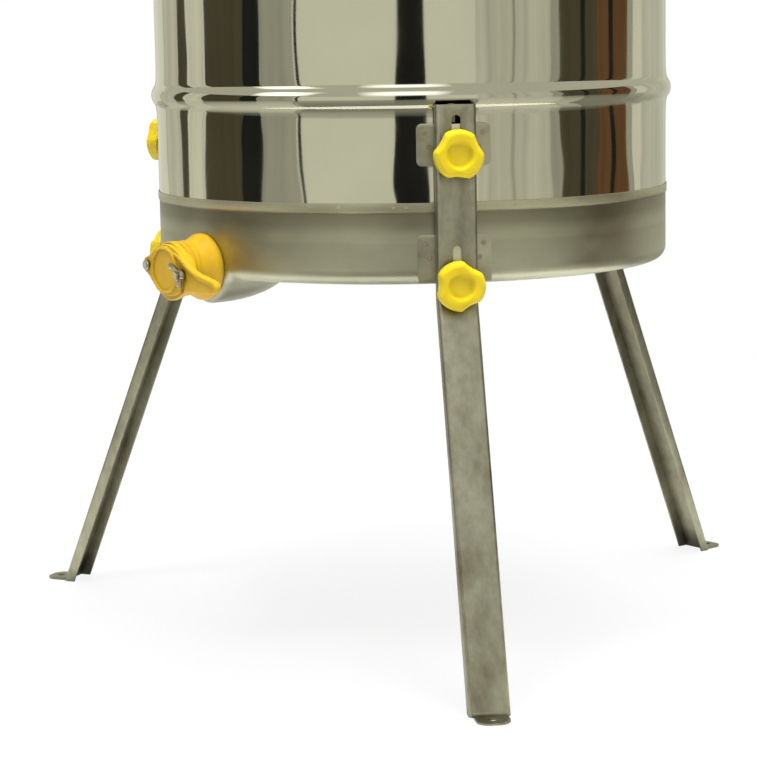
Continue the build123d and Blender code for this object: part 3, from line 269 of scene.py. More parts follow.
class Finish(Graph):
    """Node material with one main shader."""

    def __init__(self, name):
        self.material = bpy.data.materials.new(name)
        self.material.use_nodes = True
        super().__init__(self.material.node_tree)
        self.shader = self.tree.nodes["Principled BSDF"]
        self.out = self.tree.nodes["Material Output"]

    def set(self, **values):
        """Sets sockets of the main shader, with _ for a space in the socket's name."""
        for key, value in values.items():
            self.shader.inputs[key.replace("_", " ")].default_value = value

    def position(self):
        return self.node("ShaderNodeTexCoord").outputs["Object"]

    def stretched(self, scale):
        """Object position with its own scale on each axis."""
        made = self.node("ShaderNodeMapping")
        made.inputs["Scale"].default_value = scale
        self.link(self.position(), made.inputs["Vector"])
        return made.outputs[0]

    def radius(self):
        """Distance from the drum's axis."""
        level = self.node("ShaderNodeVectorMath", operation="LENGTH")
        self.link(self.stretched((1.0, 1.0, 0.0)), level.inputs[0])
        return level.outputs["Value"]

    def height(self):
        split = self.node("ShaderNodeSeparateXYZ")
        self.link(self.position(), split.inputs[0])
        return split.outputs[2]

    def rings(self, scale):
        """Coordinates that only change with the distance from the drum's axis and with height."""
        joined = self.node("ShaderNodeCombineXYZ")
        self.link(self.compute("MULTIPLY", self.radius(), scale), joined.inputs[0])
        self.link(self.compute("MULTIPLY", self.height(), scale), joined.inputs[2])
        return joined.outputs[0]

    def noise(self, vector, scale, detail=3.0, roughness=0.55):
        made = self.node("ShaderNodeTexNoise")
        made.inputs["Scale"].default_value = scale
        made.inputs["Detail"].default_value = detail
        made.inputs["Roughness"].default_value = roughness
        self.link(vector, made.inputs["Vector"])
        return made.outputs["Fac"]

    def ramp(self, value, *stops):
        """Colour ramp through (place, colour) stops."""
        made = self.node("ShaderNodeValToRGB")
        elements = made.color_ramp.elements
        while len(elements) < len(stops):
            elements.new(0.5)
        for element, (place, colour) in zip(elements, stops):
            element.position = place
            element.color = (*colour, 1.0)
        self.link(value, made.inputs[0])
        return made.outputs[0]

    def mixed(self, share, first, second):
        """Two colours mixed by a share that varies over the surface."""
        made = self.node("ShaderNodeMix", data_type="RGBA")
        for socket, value in zip(("Factor", "A", "B"), (share, first, second)):
            self.link(value, made.inputs[socket])
        return made.outputs["Result"]

    def multiplied(self, first, second):
        """Two varying colours multiplied."""
        made = self.node("ShaderNodeMix", data_type="RGBA", blend_type="MULTIPLY")
        made.inputs["Factor"].default_value = 1.0
        self.link(first, made.inputs["A"])
        self.link(second, made.inputs["B"])
        return made.outputs["Result"]

    def painted_nook_shade(self, colour, depth, dark, start, end):
        """Colour with painted shade: darkened to a share where ambient occlusion finds the surface closed in."""
        made = self.node("ShaderNodeAmbientOcclusion", samples=8)
        made.inputs["Distance"].default_value = depth
        # Painted shade: ambient occlusion mapped to a dark share that multiplies the colour
        painted_shade = self.ramp(made.outputs["AO"], (start, (dark, dark, dark)), (end, (1.0, 1.0, 1.0)))
        return self.multiplied(colour, painted_shade)

    def bump(self, height, strength, distance):
        made = self.node("ShaderNodeBump")
        made.inputs["Strength"].default_value = strength
        made.inputs["Distance"].default_value = distance
        self.link(height, made.inputs["Height"])
        return made.outputs[0]

    def finish(self, colour=None, roughness=None, normal=None):
        for value, socket in ((colour, "Base Color"), (roughness, "Roughness"), (normal, "Normal")):
            if value is not None:
                self.link(value, self.shader.inputs[socket])
        return self.material


def polished_steel():
    """Mirror-polished sheet with a film of smudges, wavier below the lower bead than above it, with painted shade,
    nearly black, where it is closed in, as behind the legs.
    """
    g = Finish("polished_steel")
    g.set(Metallic=1.0)
    tone = (0.60, 0.585, 0.49)
    smudge = g.noise(g.position(), 9.0, 5.0)
    slack = g.spread(g.height(), 1.0, 0.3, SEAM_TOP, BEAD_HEIGHTS[0] + 0.03)
    waves = g.compute("MULTIPLY", g.noise(g.stretched((13.0, 13.0, 9.0)), 1.0, 1.0), slack)
    unshaded = g.ramp(smudge, (0.25, shade(tone, 0.93)), (0.75, shade(tone, 1.04)))
    # Painted shade: the colour darkens almost to black where the wall is closed in, as behind the legs
    colour = g.painted_nook_shade(unshaded, depth=0.06, dark=0.03, start=0.1, end=0.55)
    return g.finish(colour, g.spread(smudge, 0.03, 0.08), g.bump(waves, 0.6, 0.004))


def satin_steel():
    """Pickled sheet with soft blotches and a brown heat tint, paler inside the legs."""
    g = Finish("satin_steel")
    g.set(Metallic=1.0)
    blotch = g.noise(g.position(), 38.0, 5.0)
    grain = g.noise(g.position(), 900.0, 2.0)
    ears = g.ramp(
        blotch, (0.28, (0.31, 0.275, 0.205)), (0.46, (0.43, 0.41, 0.32)), (0.75, (0.54, 0.53, 0.42))
    )
    inside_tone = g.ramp(blotch, (0.3, (0.62, 0.61, 0.52)), (0.7, (0.72, 0.71, 0.61)))
    inside_leg = g.spread(g.radius(), 0.0, 1.0, BRACKET_FACE - 0.004, BRACKET_FACE - 0.002)
    colour = g.mixed(inside_leg, ears, inside_tone)
    return g.finish(colour, g.spread(blotch, 0.30, 0.42), g.bump(grain, 0.10, 0.0003))


def spun_steel():
    """The pan's sheet: fine spinning rings, soft tones up its height and a tinted seam strip, with painted light
    among them: a painted reflection of the floor that is palest on the rounded bottom edge, painted shade just
    below the seam strip and a painted highlight along its top edge.
    """
    g = Finish("spun_steel")
    g.set(Metallic=1.0)
    drift = g.spread(g.noise(g.stretched((7.0, 7.0, 20.0)), 1.0, 2.0), -0.0012, 0.0012)
    height = g.compute("ADD", g.height(), drift)
    level = g.spread(height, 0.0, 1.0, PAN_FLOOR - 0.025, SEAM_TOP + 0.001)
    # Tones up the pan by height: the pale stops from 0.25 to 0.33 are a painted reflection of the floor on the
    # rounded bottom edge, fading upwards; the dark stops at 0.80 and 0.895 are painted shade just below the seam
    # strip; the stops from 0.915 are the seam strip's tint, and the last one a painted highlight along its top
    # edge
    tones_and_painted_light = g.ramp(
        level,
        (0.0, (0.42, 0.415, 0.36)), (0.20, (0.46, 0.455, 0.385)), (0.25, (0.64, 0.635, 0.54)),
        (0.29, (0.60, 0.595, 0.495)), (0.33, (0.56, 0.55, 0.445)), (0.62, (0.47, 0.46, 0.365)),
        (0.645, (0.51, 0.50, 0.39)), (0.70, (0.49, 0.48, 0.375)), (0.80, (0.32, 0.31, 0.235)),
        (0.895, (0.27, 0.255, 0.185)), (0.915, (0.57, 0.55, 0.42)), (0.985, (0.62, 0.60, 0.47)),
        (0.995, (0.66, 0.645, 0.53)),
    )
    blotch = g.noise(g.stretched((16.0, 16.0, 30.0)), 1.0, 5.0)
    mottle = g.ramp(blotch, (0.3, (0.82, 0.81, 0.79)), (0.7, (1.0, 1.0, 1.0)))
    rings = g.noise(g.rings(900.0), 1.0, 2.0)
    colour = g.multiplied(tones_and_painted_light, mottle)
    return g.finish(colour, g.spread(blotch, 0.34, 0.46), g.bump(rings, 0.12, 0.0004))


def weld_steel():
    """Spot welds, dark and brown from the heat."""
    g = Finish("weld_steel")
    g.set(Metallic=1.0)
    burn = g.noise(g.position(), 420.0, 3.0)
    colour = g.ramp(burn, (0.3, (0.30, 0.27, 0.205)), (0.7, (0.43, 0.41, 0.325)))
    return g.finish(colour, g.spread(burn, 0.35, 0.5), g.bump(burn, 0.2, 0.0004))


def leg_steel():
    """Satin channel steel with faint lengthwise brushing, handling marks and a brown tint in places, and painted
    shade where it is closed in, inside the channel and round the knobs.
    """
    g = Finish("leg_steel")
    g.set(Metallic=1.0)
    tone = (0.38, 0.37, 0.294)
    tint = (0.33, 0.30, 0.222)
    brush = g.noise(g.stretched((900.0, 900.0, 14.0)), 1.0, 2.0)
    marks = g.noise(g.stretched((26.0, 26.0, 12.0)), 1.0, 6.0, 0.6)
    smears = g.noise(g.stretched((130.0, 130.0, 75.0)), 1.0, 5.0, 0.65)
    broad = g.ramp(marks, (0.28, shade(tint, 0.75)), (0.5, tone), (0.72, shade(tone, 1.22)))
    fine = g.ramp(smears, (0.3, (0.80, 0.79, 0.78)), (0.62, (1.0, 1.0, 1.0)))
    # Painted shade: darker where the channel is closed in and round the knobs
    colour = g.painted_nook_shade(g.multiplied(broad, fine), depth=0.03, dark=0.45, start=0.3, end=0.8)
    return g.finish(colour, g.spread(marks, 0.34, 0.46), g.bump(brush, 0.15, 0.0003))


def plain_steel(name, tone, low, high, scale=60.0):
    """Bright, turned or cast metal with a slightly uneven finish and painted shade in its hollows."""
    g = Finish(name)
    g.set(Metallic=1.0)
    marks = g.noise(g.position(), scale, 4.0)
    unshaded = g.ramp(marks, (0.3, shade(tone, 0.88)), (0.7, shade(tone, 1.08)))
    # Painted shade: darker in the part's hollows and creases
    colour = g.painted_nook_shade(unshaded, depth=0.006, dark=0.12, start=0.25, end=0.85)
    return g.finish(colour, g.spread(marks, low, high), g.bump(marks, 0.08, 0.0005))


def brushed_steel(name, tone, grain):
    """Sheet or bar with fine brushing along one axis and soft handling marks."""
    g = Finish(name)
    g.set(Metallic=1.0)
    lines = g.noise(g.stretched(grain), 1.0, 3.0)
    marks = g.noise(g.position(), 22.0, 5.0)
    lined = g.ramp(lines, (0.3, shade(tone, 0.90)), (0.7, shade(tone, 1.08)))
    marked = g.ramp(marks, (0.3, (0.86, 0.85, 0.83)), (0.7, (1.0, 1.0, 1.0)))
    colour = g.multiplied(lined, marked)
    return g.finish(colour, g.spread(marks, 0.22, 0.34), g.bump(lines, 0.10, 0.0003))


def moulded(name, tone, low, high):
    """Moulded plastic: fine grain, a little unevenness in colour and gloss, and painted shade in hollows."""
    g = Finish(name)
    g.set(Specular_IOR_Level=0.38, Subsurface_Weight=0.03, Subsurface_Scale=0.003)
    g.set(Subsurface_Radius=(1.0, 0.6, 0.2))
    grain = g.noise(g.position(), 2200.0, 2.0)
    cloud = g.noise(g.position(), 55.0, 3.0)
    unshaded = g.ramp(cloud, (0.25, shade(tone, 0.93)), (0.75, shade(tone, 1.04)))
    # Painted shade: darker in hollows, such as round the knobs' dishes and the gate's rim
    colour = g.painted_nook_shade(unshaded, depth=0.006, dark=0.5, start=0.4, end=0.95)
    return g.finish(colour, g.spread(cloud, low, high), g.bump(grain, 0.05, 0.0003))


def rubber():
    """Black rubber with a dusty bloom."""
    g = Finish("gasket_rubber")
    bloom = g.noise(g.position(), 160.0, 5.0)
    colour = g.ramp(bloom, (0.3, (0.02, 0.02, 0.02)), (0.75, (0.05, 0.048, 0.045)))
    return g.finish(colour, g.spread(bloom, 0.6, 0.8), g.bump(bloom, 0.2, 0.0006))


def clear_plastic():
    """Clear acrylic sheet with faint handling scuffs."""
    g = Finish("clear_plastic")
    g.set(Transmission_Weight=1.0, IOR=1.49, Base_Color=(0.93, 0.97, 0.98, 1.0))
    scuffs = g.noise(g.stretched((40.0, 9.0, 40.0)), 1.0, 6.0)
    roughness = g.spread(scuffs, 0.015, 0.07, 0.45, 0.75)
    return g.finish(roughness=roughness, normal=g.bump(scuffs, 0.02, 0.0004))


finishes = {
    "polished_steel": polished_steel(),
    "satin_steel": satin_steel(),
    "leg_steel": leg_steel(),
    "fastener_steel": plain_steel("fastener_steel", (0.54, 0.52, 0.47), 0.05, 0.12),
    "bar_steel": brushed_steel("bar_steel", (0.60, 0.59, 0.54), (6.0, 700.0, 700.0)),
    "basket_steel": plain_steel("basket_steel", (0.58, 0.57, 0.53), 0.18, 0.30, 30.0),
    "turned_steel": plain_steel("turned_steel", (0.52, 0.52, 0.51), 0.20, 0.32, 80.0),
    "cast_aluminium": plain_steel("cast_aluminium", (0.58, 0.59, 0.60), 0.42, 0.55, 160.0),
    "bearing_bronze": plain_steel("bearing_bronze", (0.58, 0.38, 0.16), 0.26, 0.38, 90.0),
    "yellow_plastic": moulded("yellow_plastic", (0.80, 0.60, 0.006), 0.28, 0.38),
    "amber_plastic": moulded("amber_plastic", (0.70, 0.42, 0.010), 0.30, 0.42),
    "black_plastic": moulded("black_plastic", (0.025, 0.025, 0.026), 0.38, 0.5),
    "gasket_rubber": rubber(),
    "clear_plastic": clear_plastic(),
}
SPUN_STEEL = spun_steel()
WELD_STEEL = weld_steel()
for subpart in frame["record"]["subparts"]:
    materials = nodes[subpart["node"]].data.materials
    materials.clear()
    materials.append(finishes[subpart["material_slot"]])


def smooth_by_angle():
    """Node group that shades faces smooth across edges flatter than the angle."""
    tree = bpy.data.node_groups.new("smooth_by_angle", "GeometryNodeTree")
    for direction in ("INPUT", "OUTPUT"):
        tree.interface.new_socket(name="Geometry", in_out=direction, socket_type="NodeSocketGeometry")
    start = tree.nodes.new("NodeGroupInput")
    end = tree.nodes.new("NodeGroupOutput")
    bend = tree.nodes.new("GeometryNodeInputMeshEdgeAngle")
    flat = tree.nodes.new("FunctionNodeCompare")
    flat.operation = "LESS_THAN"
    flat.inputs[1].default_value = math.radians(SMOOTH_ANGLE)
    faces = tree.nodes.new("GeometryNodeSetShadeSmooth")
    edges = tree.nodes.new("GeometryNodeSetShadeSmooth")
    edges.domain = "EDGE"
    tree.links.new(bend.outputs[0], flat.inputs[0])
    tree.links.new(start.outputs[0], faces.inputs[0])
    tree.links.new(faces.outputs[0], edges.inputs[0])
    tree.links.new(flat.outputs[0], edges.inputs["Shade Smooth"])
    tree.links.new(edges.outputs[0], end.inputs[0])
    return tree


SMOOTH = smooth_by_angle()


def smoothed(obj):
    """Shades a piece smooth up to the angle, as its last modifier."""
    obj.modifiers.new("smooth", "NODES").node_group = SMOOTH


def bevelled(obj):
    """Cuts a piece's edges slightly."""
    edge = obj.modifiers.new("edge", "BEVEL")
    edge.width = EDGE_WIDTH
    edge.segments = 2
    edge.limit_method = "ANGLE"
    edge.angle_limit = math.radians(EDGE_ANGLE)


def thickened(obj, thickness):
    """Gives an outer skin its sheet's thickness inwards."""
    skin = obj.modifiers.new("sheet", "SOLIDIFY")
    skin.thickness = thickness
    skin.offset = -1.0


def grid_faces(rows, columns, closed=(False, False)):
    """Quads of a grid of points that are listed row by row."""
    faces = []
    for i in range(rows if closed[0] else rows - 1):
        for j in range(columns if closed[1] else columns - 1):
            k, m = (i + 1) % rows, (j + 1) % columns
            faces.append((i * columns + j, k * columns + j, k * columns + m, i * columns + m))
    return faces


def build(name, points, faces, slot, body, *replaced, outward=None, finish=None):
    """Smooth mesh piece on a body, with its doubled points merged."""
    mesh = bpy.data.meshes.new(name)
    mesh.from_pydata(points, [], faces)
    work = bmesh.new()
    work.from_mesh(mesh)
    bmesh.ops.remove_doubles(work, verts=work.verts, dist=PIECE_GAP)
    bmesh.ops.recalc_face_normals(work, faces=work.faces)
    if outward is not None:
        outward(work)
    work.to_mesh(mesh)
    work.free()
    mesh.shade_smooth()
    mesh.materials.append(finish or finishes[slot])
    obj = add_object(name, mesh)
    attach(obj, body)
    if replaced:
        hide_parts(*replaced)
    return obj


def bead_outline(height):
    """Points up one rolled bead, which runs out into the wall: radius, height and lean of the surface."""
    start = math.radians(BEAD_RUN_LEAN)
    drop = BEAD_PROJECTION - BEAD_RUN_RISE + BEAD_BLEND * (1.0 - math.cos(start))
    lean = math.acos(1.0 - drop / (BEAD_CROWN + BEAD_BLEND))
    crown_foot = DRUM_RADIUS + BEAD_PROJECTION - BEAD_CROWN
    crown = [(crown_foot + BEAD_CROWN * math.cos(t), -BEAD_CROWN * math.sin(t), -t)
             for t in steps(lean, 0.0, 14)[1:]]
    meet_r = crown_foot + BEAD_CROWN * math.cos(lean)
    meet_z = -BEAD_CROWN * math.sin(lean)
    flank = [(meet_r - BEAD_BLEND * (math.cos(t) - math.cos(lean)),
              meet_z - BEAD_BLEND * (math.sin(lean) - math.sin(t)), -t) for t in steps(start, lean, 14)]
    foot_r, foot_z, _ = flank[0]
    rise = foot_r - DRUM_RADIUS
    fall = rise / math.tan(start)
    run = [(DRUM_RADIUS + rise * math.exp(-d / fall), foot_z - d,
            -math.atan(math.tan(start) * math.exp(-d / fall))) for d in steps(BEAD_RUN, 0.0, 12)[:-1]]
    lower = run + flank + crown
    upper = [(r, -z, -t) for r, z, t in lower[-2::-1]]
    return [(r, height + z, t) for r, z, t in lower + upper]


def drum_wall():
    """Polished wall, turned from one closed outline with both beads."""
    outline = [(DRUM_RADIUS, WALL_FOOT, 0.0)]
    for height in BEAD_HEIGHTS:
        outline += bead_outline(height)
    outline.append((DRUM_RADIUS, RIM_SEAT, 0.0))
    inside = [(r - SHEET * math.cos(t), z - SHEET * math.sin(t)) for r, z, t in reversed(outline)]
    section = [(r, z) for r, z, t in outline] + inside
    points = []
    for i in range(WALL_SEGMENTS):
        points += standing(360.0 * i / WALL_SEGMENTS, section)
    faces = grid_faces(WALL_SEGMENTS, len(section), (True, True))
    smoothed(build("drum_wall_skin", points, faces, "polished_steel", "drum", "drum_wall"))


def trough_height(x, y):
    """Underside of the outlet trough, a round channel that runs out towards the middle."""
    inward = max(0.0, DRUM_RADIUS - SUMP_STRAIGHT + y) / SUMP_TAPER
    radius = SUMP_RADIUS * math.sqrt(max(0.0, 1.0 - inward * inward))
    if abs(x) >= radius:
        return GATE_HEIGHT + SUMP_SLOPE * (abs(x) - radius)
    return GATE_HEIGHT - math.sqrt(radius * radius - x * x)


def pan_height(radius, out):
    """Underside of the pan's floor, blended into the trough."""
    edge = DRUM_RADIUS - PAN_CORNER
    floor_height = PAN_FLOOR + PAN_RISE * clamp((edge - radius) / (edge - PAN_CENTRE))
    return soft_min(floor_height, trough_height(out.x * radius, out.y * radius), SUMP_BLEND)


def pan_section(azimuth):
    """Outline of the pan from its middle to the seam lip, at one azimuth."""
    out = heading(azimuth)
    depth = clamp((PAN_FLOOR - pan_height(DRUM_RADIUS - PAN_CORNER, out)) / SUMP_DEPTH)
    corner = PAN_CORNER - (PAN_CORNER - SUMP_EDGE) * eased(depth)
    edge = DRUM_RADIUS - corner
    section = [(r, pan_height(r, out)) for r in PAN_RINGS + steps(PAN_FINE, edge, 50)]
    foot = section[-1][1]
    turns = steps(0.0, math.pi / 2, 10)[1:]
    section += [(edge + corner * math.sin(t), foot + corner * (1 - math.cos(t))) for t in turns]
    ledge = SEAM_LEDGE - SHEET
    section += [(DRUM_RADIUS, z) for z in steps(foot + corner, ledge, 36)[1:]]
    lip = SEAM_LIP - DRUM_RADIUS
    section += [(DRUM_RADIUS + lip * eased(s), ledge + SHEET * s) for s in steps(0.0, 1.0, 4)[1:]]
    return section + [(SEAM_LIP, SEAM_TOP - SEAM_ROUND), (SEAM_LIP - SEAM_ROUND, SEAM_TOP)]


def open_outlet(work):
    """Turns the pan's faces outward and cuts the round hole that the outlet stub goes through."""
    def off_axis(point):
        """Distance from the gate's axis, on the gate's side of the drum."""
        return math.hypot(point.x, point.z - GATE_HEIGHT) if point.y < GATE_SIDE else math.inf

    work.faces.ensure_lookup_table()
    lowest = min(work.faces, key=lambda face: face.calc_center_median().z)
    if lowest.normal.z > 0:
        bmesh.ops.reverse_faces(work, faces=work.faces)
    inside = [face for face in work.faces if off_axis(face.calc_center_median()) < STUB_SEAT]
    bmesh.ops.delete(work, geom=inside, context="FACES")
    for vert in {v for edge in work.edges if edge.is_boundary for v in edge.verts}:
        distance = off_axis(vert.co)
        if distance < 2 * STUB_SEAT:
            vert.co.x *= STUB_SEAT / distance
            vert.co.z = GATE_HEIGHT + (vert.co.z - GATE_HEIGHT) * STUB_SEAT / distance
            vert.co.y = -math.sqrt(DRUM_RADIUS**2 - vert.co.x**2)


def bottom_pan():
    """Satin pan whose pressed trough flows into the floor and the rounded edge, finer near the trough."""
    azimuths = steps(-SUMP_ANGLE, SUMP_ANGLE, 64) + steps(SUMP_ANGLE, 360.0 - SUMP_ANGLE, 164)[1:-1]
    sections = [pan_section(azimuth) for azimuth in azimuths]
    points = []
    for azimuth, section in zip(azimuths, sections):
        points += standing(azimuth, section)
    faces = grid_faces(len(azimuths), len(sections[0]), (True, False))
    pan = build("bottom_pan_skin", points, faces, "satin_steel", "drum", "bottom_pan",
                outward=open_outlet, finish=SPUN_STEEL)
    thickened(pan, SHEET)
    smoothed(pan)


def placed(azimuth, radius, height):
    """Frame square to a radius: x to the right seen from outside, y up, z straight out."""
    out = heading(azimuth)
    up = Vector((0.0, 0.0, 1.0))
    turn = Matrix((up.cross(out), up, out)).transposed()
    return Matrix.Translation(out * radius + up * height) @ turn.to_4x4()


def turned(place, section, segments):
    """Closed ring of a section in millimetres, (radius, distance out), turned about a frame's axis."""
    points = [place @ (Vector((r * math.cos(a), r * math.sin(a), out)) * MM)
              for a in circle(segments) for r, out in section]
    return points, grid_faces(segments, len(section), (True, True))


def knob_outline(angle):
    """Distance from the knob's axis to its scalloped edge."""
    step = 2 * math.pi / SCALLOPS
    turn = (angle + step / 2) % step - step / 2
    reach = SCALLOP_RADIUS**2 - (SCALLOP_CENTRE * math.sin(turn)) ** 2
    scallop = SCALLOP_CENTRE * math.cos(turn) - math.sqrt(reach) if reach > 0 else SCALLOP_CENTRE
    return soft_min(KNOB_RADIUS, scallop, SCALLOP_SOFTNESS)


def knob_section():
    """Points from the bottom of the threaded hole, round the head, to the middle of the dished face.

    Each has the share of the scalloped edge in its radius, the inset from that edge, the plain
    radius and the distance out from the seat, in millimetres.
    """
    hole = [(0, 0, 0.0, 15.5), (0, 0, 4.05, 15.5)]
    neck = [(0, 0, 4.05, 0.0), (0, 0, 10.4, 0.0), (0, 0, 11.0, 0.6), (0, 0, 11.0, 5.0), (0, 0, 11.5, 5.5)]
    back = [(1, 2.2, 0, 5.5), (1, 0.8, 0, 5.9), (1, 0.2, 0, 6.6)]
    side = [(1, 0.0, 0, 7.6), (1, 0.0, 0, 10.0), (1, 0.1, 0, 13.0)]
    turns = steps(0.0, math.pi / 2, 10)[1:]
    edge = [(1, 0.1 + 5.2 * (1 - math.cos(t)), 0, 14.4 + 5.6 * math.sin(t)) for t in turns]
    face = [(0.6, 6.2, 16.0, 20.0), (0.25, 7.2, 14.4, 20.0), (0, 0, 13.4, 19.9), (0, 0, 12.8, 19.5)]
    slope = [(0, 0, 12.3, 18.9), (0, 0, 10.7, 16.6), (0, 0, 10.3, 16.2)]
    dish = [(0, 0, 9.6, 16.0), (0, 0, 6.0, 16.0), (0, 0, 0.0, 16.0)]
    return hole + neck + back + side + edge + face + slope + dish


def knob(leg, level):
    """Clamping knob with a soft edge and a wide dished face."""
    place = placed(LEG_AZIMUTHS[leg], KNOB_SEAT, STUD_HEIGHTS[level])
    section = knob_section()
    segments = 144
    points = []
    for angle in circle(segments):
        edge = knob_outline(angle - math.radians(KNOB_TURNS[level]))
        for share, inset, radius, out in section:
            r = share * (edge - inset * MM) + (1 - share) * radius * MM
            points.append(place @ Vector((r * math.cos(angle), r * math.sin(angle), out * MM)))
    faces = grid_faces(segments, len(section), (True, False))
    node = f"knob_{leg}_{level}"
    smoothed(build(f"{node}_skin", points, faces, "yellow_plastic", node, node))


def bracket_course():
    """Half of a bracket's bent section from above: distance to the side, radius, and whether it is an ear."""
    bend = BRACKET_BEND
    side = BRACKET_BOX_HALF
    turns = steps(0.0, math.pi / 2, 5)
    across = [BRACKET_HALF - 0.3 * MM * i * i for i in range(5)] + [28.0 * MM, 24.0 * MM]
    course = [(x, math.sqrt(EAR_FACE**2 - x * x), True) for x in across]
    foot = math.sqrt(EAR_FACE**2 - side**2)
    course += [(side + bend * (1 - math.sin(t)), foot + bend * (1 - math.cos(t)), True) for t in turns]
    course.append((side, foot + bend + 0.1 * MM, False))
    face = BRACKET_FACE
    course += [(side - bend * (1 - math.cos(t)), face - bend * (1 - math.sin(t)), False) for t in turns]
    return course + [(8.0 * MM, face, False)]


def face_out(work):
    """Turns an open skin's faces away from the drum's axis."""
    total = sum(face.normal.xy.dot(face.calc_center_median().xy) * face.calc_area() for face in work.faces)
    if total < 0:
        bmesh.ops.reverse_faces(work, faces=work.faces)


def bracket(leg, level):
    """Welded leg bracket: bent sheet with rounded ears on the wall and a box inside the leg."""
    place = placed(LEG_AZIMUTHS[leg], 0.0, STUD_HEIGHTS[level])
    foot, ear_foot, top, round_foot = BRACKET_SHAPES[level]
    half = bracket_course()
    course = half + [(-x, r, ear) for x, r, ear in reversed(half)]
    points = []
    for x, radius, ear in course:
        rest = max(0.0, BRACKET_CORNER - (BRACKET_HALF - abs(x)))
        corner = BRACKET_CORNER - math.sqrt(BRACKET_CORNER**2 - rest**2)
        low = (ear_foot + (corner if round_foot else 0.0)) if ear else foot
        points += [place @ Vector((x, height, radius)) for height in steps(low, top - corner, BRACKET_ROWS)]
    faces = grid_faces(len(course), BRACKET_ROWS + 1)
    made = build(f"bracket_{leg}_{level}", points, faces, "satin_steel", "drum", outward=face_out)
    thickened(made, BRACKET_SHEET)
    bevelled(made)
    smoothed(made)
    for side, sign in (("left", -1), ("right", 1)):
        for number, (across, drop) in enumerate(WELD_SPOTS):
            spot_weld(f"weld_{leg}_{level}_{side}_{number}", place, sign * across, top - drop)
    return made


def spot_weld(name, place, across, height):
    """Shallow dish with a raised ring, left by a spot weld on a bracket's ear."""
    section = [(0.0, 0.02), (0.8, 0.03), (1.5, 0.07), (2.1, 0.12), (2.6, 0.06), (3.0, -0.1), (0.0, -0.1)]
    segments = 20
    points = []
    for angle in circle(segments):
        for radius, lift in section:
            x = across + radius * MM * math.cos(angle)
            y = height + radius * MM * math.sin(angle)
            points.append(place @ Vector((x, y, math.sqrt(EAR_FACE**2 - x * x) + lift * MM)))
    faces = grid_faces(segments, len(section), (True, False))
    build(name, points, faces, "satin_steel", "drum", finish=WELD_STEEL)


def seam_marks():
    """Stitch marks pressed along the seam strip, not quite evenly."""
    section = [(0.0, 0.03), (0.7, 0.04), (1.2, 0.1), (1.7, -0.1), (0.0, -0.1)]
    segments = 12
    oval = 1.5
    points, faces = [], []
    for number in range(SEAM_MARKS):
        place = placed(360.0 * (number + 0.35 * math.sin(number * 2.4)) / SEAM_MARKS, SEAM_LIP, 0.0)
        middle = (SEAM_LEDGE + SEAM_TOP) / 2 + 0.6 * MM * math.sin(number * 1.7)
        first = len(points)
        for angle in circle(segments):
            for radius, lift in section:
                x = oval * radius * MM * math.cos(angle)
                y = middle + radius * MM * math.sin(angle)
                points.append(place @ Vector((x, y, lift * MM)))
        quads = grid_faces(segments, len(section), (True, False))
        faces += [tuple(first + k for k in face) for face in quads]
    build("seam_marks", points, faces, "satin_steel", "drum", finish=SPUN_STEEL)


def gate_place():
    """Frame of the gate: x along its bolts, y up, z straight out from the drum's axis."""
    return placed(0.0, 0.0, GATE_HEIGHT) @ Matrix.Rotation(math.radians(-GATE_TILT), 4, "Z")


def spline(knots, count, closed=True):
    """Points of a smooth curve through the knots, with a count of steps between them."""
    total = len(knots)
    places = []
    for i in range(total if closed else total - 1):
        span = [i + k if closed else min(total - 1, max(0, i + k)) for k in (-1, 0, 1, 2)]
        corners = [knots[k % total] for k in span]
        for s in steps(0.0, 1.0, count)[:-1]:
            places.append(tuple(
                0.5 * (2 * b + (c - a) * s + (2 * a - 5 * b + 4 * c - d) * s**2
                       + (3 * b - a - 3 * c + d) * s**3)
                for a, b, c, d in zip(*corners)
            ))
    return places


def with_normals(places, closed=True):
    """Adds to each point of a course the direction to the right of it."""
    total = len(places)
    made = []
    for i, (x, y) in enumerate(places):
        before = places[i - 1] if closed or i else places[0]
        after = places[(i + 1) % total] if closed or i < total - 1 else places[-1]
        dx, dy = after[0] - before[0], after[1] - before[1]
        length = math.hypot(dx, dy)
        made.append((x, y, dy / length, -dx / length))
    return made


def gate_body():
    """Moulded gate body: bell that sits on the wall and ringed neck behind the flange."""
    place = gate_place()
    collar = [(303.0, 20.8), (302.6, 21.0), (302.2, 22.0), (297.0, 25.4), (294.6, 25.4)]
    ring = [(294.0, 26.3), (292.8, 26.9), (291.4, 26.9), (290.2, 26.3), (289.6, 25.5), (288.6, 25.3)]
    second = [(287.6, 25.6), (287.0, 26.4), (286.0, 26.9), (284.6, 26.9), (283.4, 26.4), (282.4, 26.0)]
    bell = [(280.4, 26.2), (278.0, 26.9), (275.6, 28.0), (273.2, 29.4), (270.8, 30.9), (268.8, 32.0)]
    outer = collar + ring + second + bell + [(267.2, 32.6), (265.8, 32.8)]
    bore = [(266.0, 31.3), (266.0, 23.2), (281.1, 23.1), (281.1, 20.1), (302.6, FLANGE_BORE)]
    segments = 128
    points = []
    for angle in circle(segments):
        wall = math.sqrt((DRUM_RADIUS / MM + BELL_GAP) ** 2 - (BELL_RADIUS * math.cos(angle)) ** 2)
        section = outer + [(wall + 1.0, 32.8), (wall, 32.6), (wall, 31.4)] + bore
        for out, radius in section:
            points.append(place @ (Vector((radius * math.cos(angle), radius * math.sin(angle), out)) * MM))
    return points, grid_faces(segments, len(section), (True, True))


